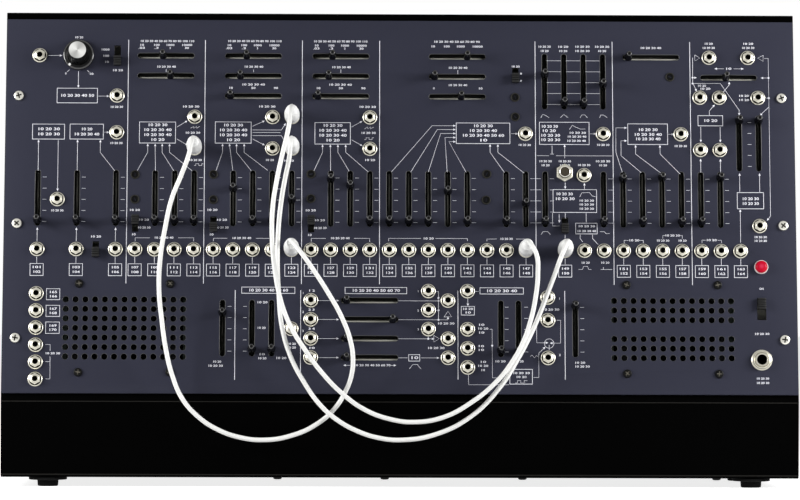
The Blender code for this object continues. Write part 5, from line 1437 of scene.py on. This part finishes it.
def hexagon_nut(name, flat, low, high, finish):
    """Hexagon nut, points up and down the panel, its corners turned off in front."""
    corner = flat / math.sqrt(3)
    nut = turned(name, in_mm([(corner, low), (corner, high), (0, high)]), 6, finish)
    rise = (corner - flat / 2) * NUT_TURN_DOWN
    cone = [
        (corner, low - 1), (corner, high - rise - 0.2), (flat / 2 - NUT_LAND, high),
        (flat / 2 - NUT_LAND - 0.02, high + 1), (0, high + 1),
    ]
    chamfer = turned("chamfer", in_mm(cone), 24, finish)
    cut_with(nut, chamfer, "INTERSECT")
    return nut


def bored_bush(name, outside, bore, sides, metal, dark):
    """Bush turned from outside to bore in one piece; the bore's faces below its mouth are dark, as
    painted shade.
    """
    bush = turned(name, in_mm(outside + bore[1:]), sides, metal)
    reach = bore[0][0] * MM
    dark_below = bore[0][1] * MM - BRIGHT_MOUTH
    second_finish(bush, dark, lambda radius, height: radius < reach and height < dark_below)
    return bush


washer = turned_ring("jack_washer", in_mm(JACK_WASHER), 24, jack_nickel)
# Painted shade: the washer's inner ring round the nut is dark, for the shade in the gap there.
second_finish(washer, jack_painted_shade, lambda radius, height: radius < WASHER_SHADE_R)
nut = hexagon_nut("jack_nut", NUT_FLAT, NUT_FOOT, NUT_TOP, jack_nickel)
nut_thread = turned("nut_thread", in_mm(NUT_THREAD), 18, jack_nickel)
cut_with(nut, nut_thread)
bush = bored_bush("jack_bush", JACK_BUSH, JACK_BORE, 18, jack_nickel, jack_painted_shade)
jack = joined("mini_jack", [washer, nut, bush])
round_off(jack, 28)
jacks = [copy_of(jack, "mini_jack", panel_place(x, s)) for x, s in jack_places]
discard(jack)
mini_jacks = joined("mini_jacks", jacks)
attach(mini_jacks, "case")


# Slide pot caps: slender black plastic caps, round and tapering to a dished tip, pushed on
# to flat steel levers. The 28 pots of the main row are fixed here, the other 29 slide.
cap_black = finish_of("cap_black", srgb(6, 6, 6), 0.2, 0.25, 0.08, 0.5 * MM, 0.004 * MM,
                      specular=0.1)
cap_gloss = finish_of("cap_gloss", srgb(7, 7, 7), 0.15, 0.16, 0.04, 0.5 * MM, 0.002 * MM,
                      specular=0.75)
CAP_PROFILE = [
    (2.55, 0.9), (2.75, 1.05), (2.75, 1.6), (2.45, 3.0), (1.9, 10.9), (1.86, 11.5),
    (1.75, 11.85), (1.56, 12.14), (1.33, 12.33), (1.05, 12.4), (0.85, 12.34), (0.72, 12.15),
    (0.66, 11.8), (0, 11.7),
]
LEVER_THICKNESS = 0.9 * MM
LEVER_LENGTH = 3.4 * MM
LEVER_FOOT = -6 * MM
LEVER_HEAD = 2 * MM
CAP_RING_HEIGHT = 11.6 * MM
CAP_RING_INNER = 0.8 * MM
cap = turned("slide_cap", in_mm(CAP_PROFILE), 20, cap_black)
second_finish(cap, cap_gloss,
              lambda radius, height: radius > CAP_RING_INNER and height > CAP_RING_HEIGHT)
lever = block((LEVER_THICKNESS, LEVER_LENGTH, LEVER_HEAD - LEVER_FOOT),
              (0, 0, (LEVER_HEAD + LEVER_FOOT) / 2))
lever.data.materials.append(pot_steel)
slide = joined("slide", [cap, lever])
round_off(slide)
levers = []
for column, position in INPUT_SLIDERS.items():
    s = MAIN_SLIDER_ROW - SLIDER_TRAVEL / 2 + position
    levers.append(copy_of(slide, "input_slide", panel_place(column_x(column), s)))
input_slides = joined("input_slides", levers)
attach(input_slides, "case")
for node in slider_nodes:
    record = moving[node]
    turn = ACROSS if record["across"] else 0
    piece = copy_of(slide, f"{node}_cap", panel_place(record["x"], record["s"], 0, turn))
    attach(piece, node)
    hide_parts(node)
discard(slide)


# Slide switches: black plastic knobs with ribs across, on a stem that goes through a
# square-cut slot. The power switch is a longer one with four ribs in a slot of its own.
switch_black = finish_of("switch_black", srgb(13, 13, 13), 0.2, 0.34, 0.1, 0.4 * MM, 0.006 * MM,
                         specular=0.3)
RIB_PITCH = 1.5 * MM
RIB_GAP = 0.6 * MM
RIB_DEPTH = 0.9 * MM
KNOB_ROUNDING = 0.3 * MM
STEM_ROUNDING = 0.15 * MM
SWITCH_KNOB = (4.8 * MM, 6.4 * MM, 0.6 * MM, 4.6 * MM)
SWITCH_STEM_BLOCK = (3.4 * MM, SWITCH_STEM, -5.4 * MM, 1.2 * MM)
POWER_KNOB = (5.2 * MM, 7.3 * MM, -0.6 * MM, 3.4 * MM)
POWER_STEM_BLOCK = (3.6 * MM, 5.2 * MM, -5.4 * MM, 0)


def ribbed_knob(name, width, length, low, high, ribs, finish):
    """Block with its edges rounded and grooves cut across its top."""
    knob = block((width, length, high - low), (0, 0, (high + low) / 2))
    bevel_all(knob, KNOB_ROUNDING, 2)
    knob.data.materials.append(finish)
    for index in range(ribs):
        place = (index - (ribs - 1) / 2) * RIB_PITCH
        groove = block((2 * width, RIB_GAP, 2 * RIB_DEPTH), (0, place, high))
        groove.data.materials.append(finish)
        cut_with(knob, groove)
    knob.name = name
    knob.data.name = name
    return knob


def square_stem(width, length, low, high, finish):
    """Stem under a knob, with its edges broken."""
    stem = block((width, length, high - low), (0, 0, (high + low) / 2))
    bevel_all(stem, STEM_ROUNDING, 1)
    stem.data.materials.append(finish)
    return stem


knob = ribbed_knob("switch_knob", *SWITCH_KNOB, 3, switch_black)
stem = square_stem(*SWITCH_STEM_BLOCK, switch_black)
switch_knob = joined("switch_knob", [knob, stem])
round_off(switch_knob)
for node in switch_nodes:
    record = moving[node]
    piece = copy_of(switch_knob, f"{node}_knob", panel_place(record["x"], record["s"]))
    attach(piece, node)
    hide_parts(node)
discard(switch_knob)

knob = ribbed_knob("power_knob", *POWER_KNOB, 4, switch_black)
stem = square_stem(*POWER_STEM_BLOCK, switch_black)
power_knob = joined("power_switch_knob", [knob, stem])
power_knob.data.transform(panel_place(power["x"], power["s"]))
round_off(power_knob)
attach(power_knob, "power_switch")
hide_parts("power_switch")


# Gain knob: black plastic with a wide skirt, a finely fluted grip and an inlaid disc of
# spun aluminium on top. A white dot on the skirt is its pointer.
knob_black = finish_of("knob_black", srgb(7, 7, 7), 0.2, 0.28, 0.1, 0.5 * MM, 0.005 * MM,
                       specular=0.12)
knob_rim = finish_of("knob_rim", srgb(206, 206, 203), 0.08, 0.3, 0.08, 0.3 * MM, 0.002 * MM,
                     metallic=1.0)
pointer_white = finish_of("pointer_white", srgb(238, 238, 236), 0.03, 0.5, 0.08, 0.3 * MM,
                          0.002 * MM)
KNOB_SKIRT = [
    (9.9, 0.8), (10.15, 0.95), (10.25, 1.3), (10.25, 2.3), (10.18, 2.65), (9.98, 2.98),
    (9.7, 3.22), (9.35, 3.38), (8.9, 3.42), (8.6, 3.25), (7.6, 3.6), (7.3, 4.4), (0, 4.5),
]
KNOB_GRIP = [
    (7.3, 4.2), (7.3, 5.0), (6.45, 16.0), (6.3, 16.5), (6.05, 16.8), (5.85, 16.8),
    (5.8, 16.55), (0, 16.5),
]
KNOB_DISC = [(5.75, 16.2), (5.75, 16.6), (5.6, 16.75), (0, 16.75)]
KNOB_DOT = [(0.85, 2.7), (0.85, 3.5), (0, 3.52)]
DOT_REACH = 8.9 * MM
GAIN_SHAFT = [(3, -5), (3, 10.6), (2.7, 10.9), (0, 10.9)]
SHAFT_NUT_FLAT = 9.0
SHAFT_NUT_TOP = 0.7
NUT_SEAT = -0.02
KNOB_FLUTES = 36
FLUTE_DEPTH = 0.32 * MM
KNOB_POINTER = math.radians(-40)
FLUTE_TOP = 16.2 * MM
FLUTE_INNER_R = 6.3 * MM
DISC_TOP = 16.75 * MM
SECTOR_TURN = 2.6
SHEEN = (0.72, 1.35)
SKIRT_RIM_R = 9.1 * MM
SKIRT_RIM_HEIGHT = 2.2 * MM
skirt = turned("knob_skirt", in_mm(KNOB_SKIRT), 64, knob_black)
second_finish(skirt, cap_gloss,
              lambda radius, height: radius > SKIRT_RIM_R and height > SKIRT_RIM_HEIGHT)
grip = turned("knob_grip", in_mm(KNOB_GRIP), 2 * KNOB_FLUTES, knob_black)
for vertex in grip.data.vertices:
    angle = math.atan2(vertex.co.x, vertex.co.y)
    step = round(angle / (math.pi / KNOB_FLUTES))
    low_side = vertex.co.z < FLUTE_TOP and vertex.co.xy.length > FLUTE_INNER_R
    if step % 2 and low_side:
        shrink = 1 - FLUTE_DEPTH / vertex.co.xy.length
        vertex.co.x *= shrink
        vertex.co.y *= shrink
disc = turned("knob_disc", in_mm(KNOB_DISC), 48, knob_rim)
# Painted sheen: the disc's colour is lightened and darkened in two pairs of opposite sectors,
# standing in for the light its spun finish reflects.
disc_painted_sheen = knob_rim.copy()
disc_painted_sheen.name = "disc_painted_sheen"
tree = disc_painted_sheen.node_tree
shader = tree.nodes["Principled BSDF"]
where = tree.nodes.new("ShaderNodeTexCoord")
off_middle = tree.nodes.new("ShaderNodeVectorMath")
off_middle.operation = "SUBTRACT"
off_middle.inputs[1].default_value = on_panel(gain["x"], gain["s"], DISC_TOP)
tree.links.new(where.outputs["Object"], off_middle.inputs[0])
apart = tree.nodes.new("ShaderNodeSeparateXYZ")
tree.links.new(off_middle.outputs["Vector"], apart.inputs["Vector"])
around = worked_out(tree, "ARCTAN2", apart.outputs["Z"], apart.outputs["X"])
twice = worked_out(tree, "MULTIPLY_ADD", around, 2.0, SECTOR_TURN)
sectors = worked_out(tree, "SINE", twice)
sheen = tree.nodes.new("ShaderNodeMapRange")
sheen.inputs["From Min"].default_value = -1.0
sheen.inputs["To Min"].default_value, sheen.inputs["To Max"].default_value = SHEEN
tree.links.new(sectors, sheen.inputs["Value"])
plain_colour = shader.inputs["Base Color"].links[0].from_socket
sheen_painted_colour = multiplied(tree, plain_colour, sheen.outputs["Result"])
tree.links.new(sheen_painted_colour, shader.inputs["Base Color"])
disc.data.materials[0] = disc_painted_sheen
dot = turned("knob_pointer", in_mm(KNOB_DOT), 16, pointer_white)
dot.data.transform(Matrix.Rotation(KNOB_POINTER, 4, "Z") @ Matrix.Translation((0, -DOT_REACH, 0)))
gain_knob = joined("gain_knob_black", [skirt, grip, disc, dot])
gain_knob.data.transform(panel_place(gain["x"], gain["s"]))
round_off(gain_knob)
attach(gain_knob, "gain_knob")
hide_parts("gain_knob")
shaft = turned("gain_shaft", in_mm(GAIN_SHAFT), 20, pot_steel)
shaft_nut = hexagon_nut("shaft_nut", SHAFT_NUT_FLAT, NUT_SEAT, SHAFT_NUT_TOP, jack_nickel)
gain_shaft = joined("gain_shaft", [shaft, shaft_nut])
gain_shaft.data.transform(panel_place(gain["x"], gain["s"]))
round_off(gain_shaft)
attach(gain_shaft, "case")


# Start button: a chromed plunger with a domed head, sprung inside a bush that a large
# hexagon nut holds to the panel.
chrome = finish_of("button_chrome", srgb(214, 211, 202), 0.05, 0.14, 0.06, 0.4 * MM,
                   0.001 * MM, metallic=1.0)
# Painted reflection: the top of the plunger is a dark brownish chrome, standing in for the dark
# things reflected in it.
chrome_painted_reflection = finish_of("button_face_painted_reflection", srgb(72, 66, 56), 0.25, 0.2, 0.06, 1.6 * MM,
                        0.03 * MM, metallic=1.0)
BUTTON_HEAD = [
    (2.2, -4.0), (2.2, 0.8), (3.7, 1.0), (3.8, 1.3), (3.8, 4.9), (3.74, 5.4), (3.6, 5.75),
    (3.4, 5.88), (3.2, 5.75), (3.05, 5.4), (1.8, 5.55), (0, 5.65),
]
START_BUSH = [(4.85, -8.6), (4.85, 3.4), (4.7, 3.6), (4.1, 3.6), (3.95, 3.45)]
START_BORE = [(3.95, 3.45), (3.95, -7.2), (0, -7.3)]
START_THREAD = [(4.4, -2), (4.4, 6), (0, 6)]
START_NUT_FLAT = 10.3
START_NUT_TOP = 2.9
BUTTON_FACE_R = 3.15 * MM
BUTTON_FACE_LOW = 3.15 * MM
plunger = turned("start_plunger", in_mm(BUTTON_HEAD), 32, chrome)
# Faces on the top of the plunger take the painted reflection.
second_finish(plunger, chrome_painted_reflection,
              lambda radius, height: radius < BUTTON_FACE_R and height > BUTTON_FACE_LOW)
plunger.data.transform(panel_place(button["x"], button["s"]))
round_off(plunger)
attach(plunger, "manual_start_button")
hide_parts("manual_start_button")
start_nut = hexagon_nut("start_nut", START_NUT_FLAT, NUT_SEAT, START_NUT_TOP, jack_nickel)
start_bush = bored_bush("start_bush", START_BUSH, START_BORE, 32, jack_nickel, jack_painted_shade)
start_hole = turned("start_hole", in_mm(START_THREAD), 32, jack_nickel)
cut_with(start_nut, start_hole)
start_seat = joined("start_seat", [start_nut, start_bush])
start_seat.data.transform(panel_place(button["x"], button["s"]))
round_off(start_seat, 28)
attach(start_seat, "case")


# Power lamp: a domed red plastic lens in a pale plastic bezel. It is lit from inside, and
# the glow is strongest at the tip of the lens.
bezel_pale = finish_of("bezel_pale", srgb(216, 208, 206), 0.05, 0.4, 0.1, 0.4 * MM, 0.004 * MM)
lens_red = finish_of("lens_red", srgb(150, 2, 26), 0.08, 0.22, 0.06, 0.4 * MM, 0.003 * MM,
                     specular=0.1)
LENS_GLOW = 0.32
LENS_TIP = 4.4 * MM
GLOW_REACH = (0.5 * MM, 2.1 * MM)
tree = lens_red.node_tree
shader = tree.nodes["Principled BSDF"]
where = tree.nodes.new("ShaderNodeTexCoord")
to_middle = tree.nodes.new("ShaderNodeVectorMath")
to_middle.operation = "DISTANCE"
to_middle.inputs[1].default_value = on_panel(lamp_x, lamp_s, LENS_TIP)
tree.links.new(where.outputs["Object"], to_middle.inputs[0])
glow = tree.nodes.new("ShaderNodeMapRange")
glow.inputs["From Min"].default_value, glow.inputs["From Max"].default_value = GLOW_REACH
glow.inputs["To Min"].default_value = 1.0
glow.inputs["To Max"].default_value = 0.0
tree.links.new(to_middle.outputs["Value"], glow.inputs["Value"])
heart = tree.nodes.new("ShaderNodeMix")
heart.data_type = "RGBA"
heart.inputs["A"].default_value = srgb(206, 0, 48)
heart.inputs["B"].default_value = srgb(255, 96, 140)
tree.links.new(glow.outputs["Result"], heart.inputs["Factor"])
tree.links.new(heart.outputs["Result"], shader.inputs["Emission Color"])
shader.inputs["Emission Strength"].default_value = LENS_GLOW
BEZEL = [
    (4.6, 0.0), (4.6, 1.2), (4.45, 1.6), (4.3, 1.8), (4.1, 1.8), (4.0, 1.5), (3.4, 1.4),
    (3.4, -9.0), (3.7, -9.0), (3.7, 0.0),
]
LENS = [
    (3.3, -6.0), (3.3, 1.3), (3.95, 1.5), (4.0, 2.2), (3.7, 3.3), (3.0, 4.0), (1.9, 4.35),
    (0, 4.4),
]
bezel = turned_ring("lamp_bezel", in_mm(BEZEL), 36, bezel_pale)
lens = turned("lamp_lens", in_mm(LENS), 36, lens_red)
power_lamp = joined("power_lamp_lit", [bezel, lens])
power_lamp.data.transform(panel_place(lamp_x, lamp_s))
round_off(power_lamp)
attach(power_lamp, "case")
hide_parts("power_lamp")


# Headphone jack: a 6.35 mm jack with a black body, a nickelled bush and a round ring nut.
PHONES_NUT = [
    (4.5, -0.02), (6.7, 0.0), (6.85, 0.2), (6.8, 0.6), (6.5, 0.8), (6.1, 0.8), (5.95, 0.9),
    (5.95, 2.2), (5.75, 2.6), (5.3, 2.75), (4.8, 2.55), (4.5, 2.2),
]
PHONES_BUSH = [(4.55, -28), (4.55, 3.3), (4.3, 3.6), (3.6, 3.6), (3.35, 3.35)]
PHONES_BORE = [(3.35, 3.35), (3.35, -27.5), (0, -27.6)]
PHONES_BODY = [
    (4.4, -28.9), (7.0, -28.9), (7.1, -28.8), (7.1, -4.0), (6.8, -3.7), (4.4, -3.6),
]
ring_nut = turned_ring("phones_nut", in_mm(PHONES_NUT), 40, jack_nickel)
phones_bush = bored_bush("phones_bush", PHONES_BUSH, PHONES_BORE, 32, jack_nickel, jack_painted_shade)
phones_body = turned_ring("phones_body", in_mm(PHONES_BODY), 32, block_black)
phones = joined("phones_jack_nickel", [ring_nut, phones_bush, phones_body])
phones.data.transform(panel_place(phones_x, phones_s))
round_off(phones)
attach(phones, "case")
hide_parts("phones_jack")


# Speakers: a black paper cone with a dust cap and a rolled surround in a square steel
# frame, with a round magnet behind, one at each side of the panel.
paper_black = finish_of("paper_black", srgb(10, 10, 10), 0.3, 0.8, 0.1, 0.9 * MM, 0.03 * MM,
                        specular=0.05)
frame_black = finish_of("frame_black", srgb(8, 8, 9), 0.25, 0.5, 0.1, 0.5 * MM, 0.01 * MM,
                        specular=0.05)
magnet_steel = finish_of("magnet_steel", srgb(120, 120, 122), 0.15, 0.4, 0.1, 0.5 * MM,
                         0.004 * MM, metallic=1.0)
SPEAKER_FRONT = -2.3 * MM
BASKET_DEPTH = 4.2 * MM
SPEAKER_FRAME = 69.5 * MM
DRIVER = [
    (1.4, -8.2), (2.8, -8.4), (5.2, -9.0), (7.6, -10.4), (8.9, -12.4), (10.0, -12.6),
    (28.6, -4.2), (29.4, -3.2), (30.6, -3.0), (31.6, -3.4), (32.6, -3.6), (32.8, -6.6),
    (31.0, -7.6), (22.0, -16.2), (20.0, -16.8), (20.0, -27.4), (19.6, -27.9), (0, -28.0),
]
DRIVER_BACK = -6.2 * MM
BASKET_ROUNDING = 0.8 * MM
BASKET_MOUTH = [(32.5, -10), (32.5, 0), (0, 0)]
driver = turned("speaker_driver", in_mm(DRIVER), 48, paper_black)
driver.data.materials.append(magnet_steel)
for face in driver.data.polygons:
    if face.center.z < DRIVER_BACK and face.normal.z < 0.1:
        face.material_index = 1
basket = block((SPEAKER_FRAME, SPEAKER_FRAME, BASKET_DEPTH),
               (0, 0, SPEAKER_FRONT - BASKET_DEPTH / 2))
bevel_all(basket, BASKET_ROUNDING, 2)
basket.data.materials.append(frame_black)
mouth = turned("speaker_mouth", in_mm(BASKET_MOUTH), 48, frame_black)
cut_with(basket, mouth)
speaker = joined("speaker", [driver, basket])
round_off(speaker)
for name, middle in SPEAKER_X.items():
    piece = copy_of(speaker, f"{name}_cone", panel_place(middle, SPEAKER_ROW))
    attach(piece, "case")
    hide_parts(name)
discard(speaker)
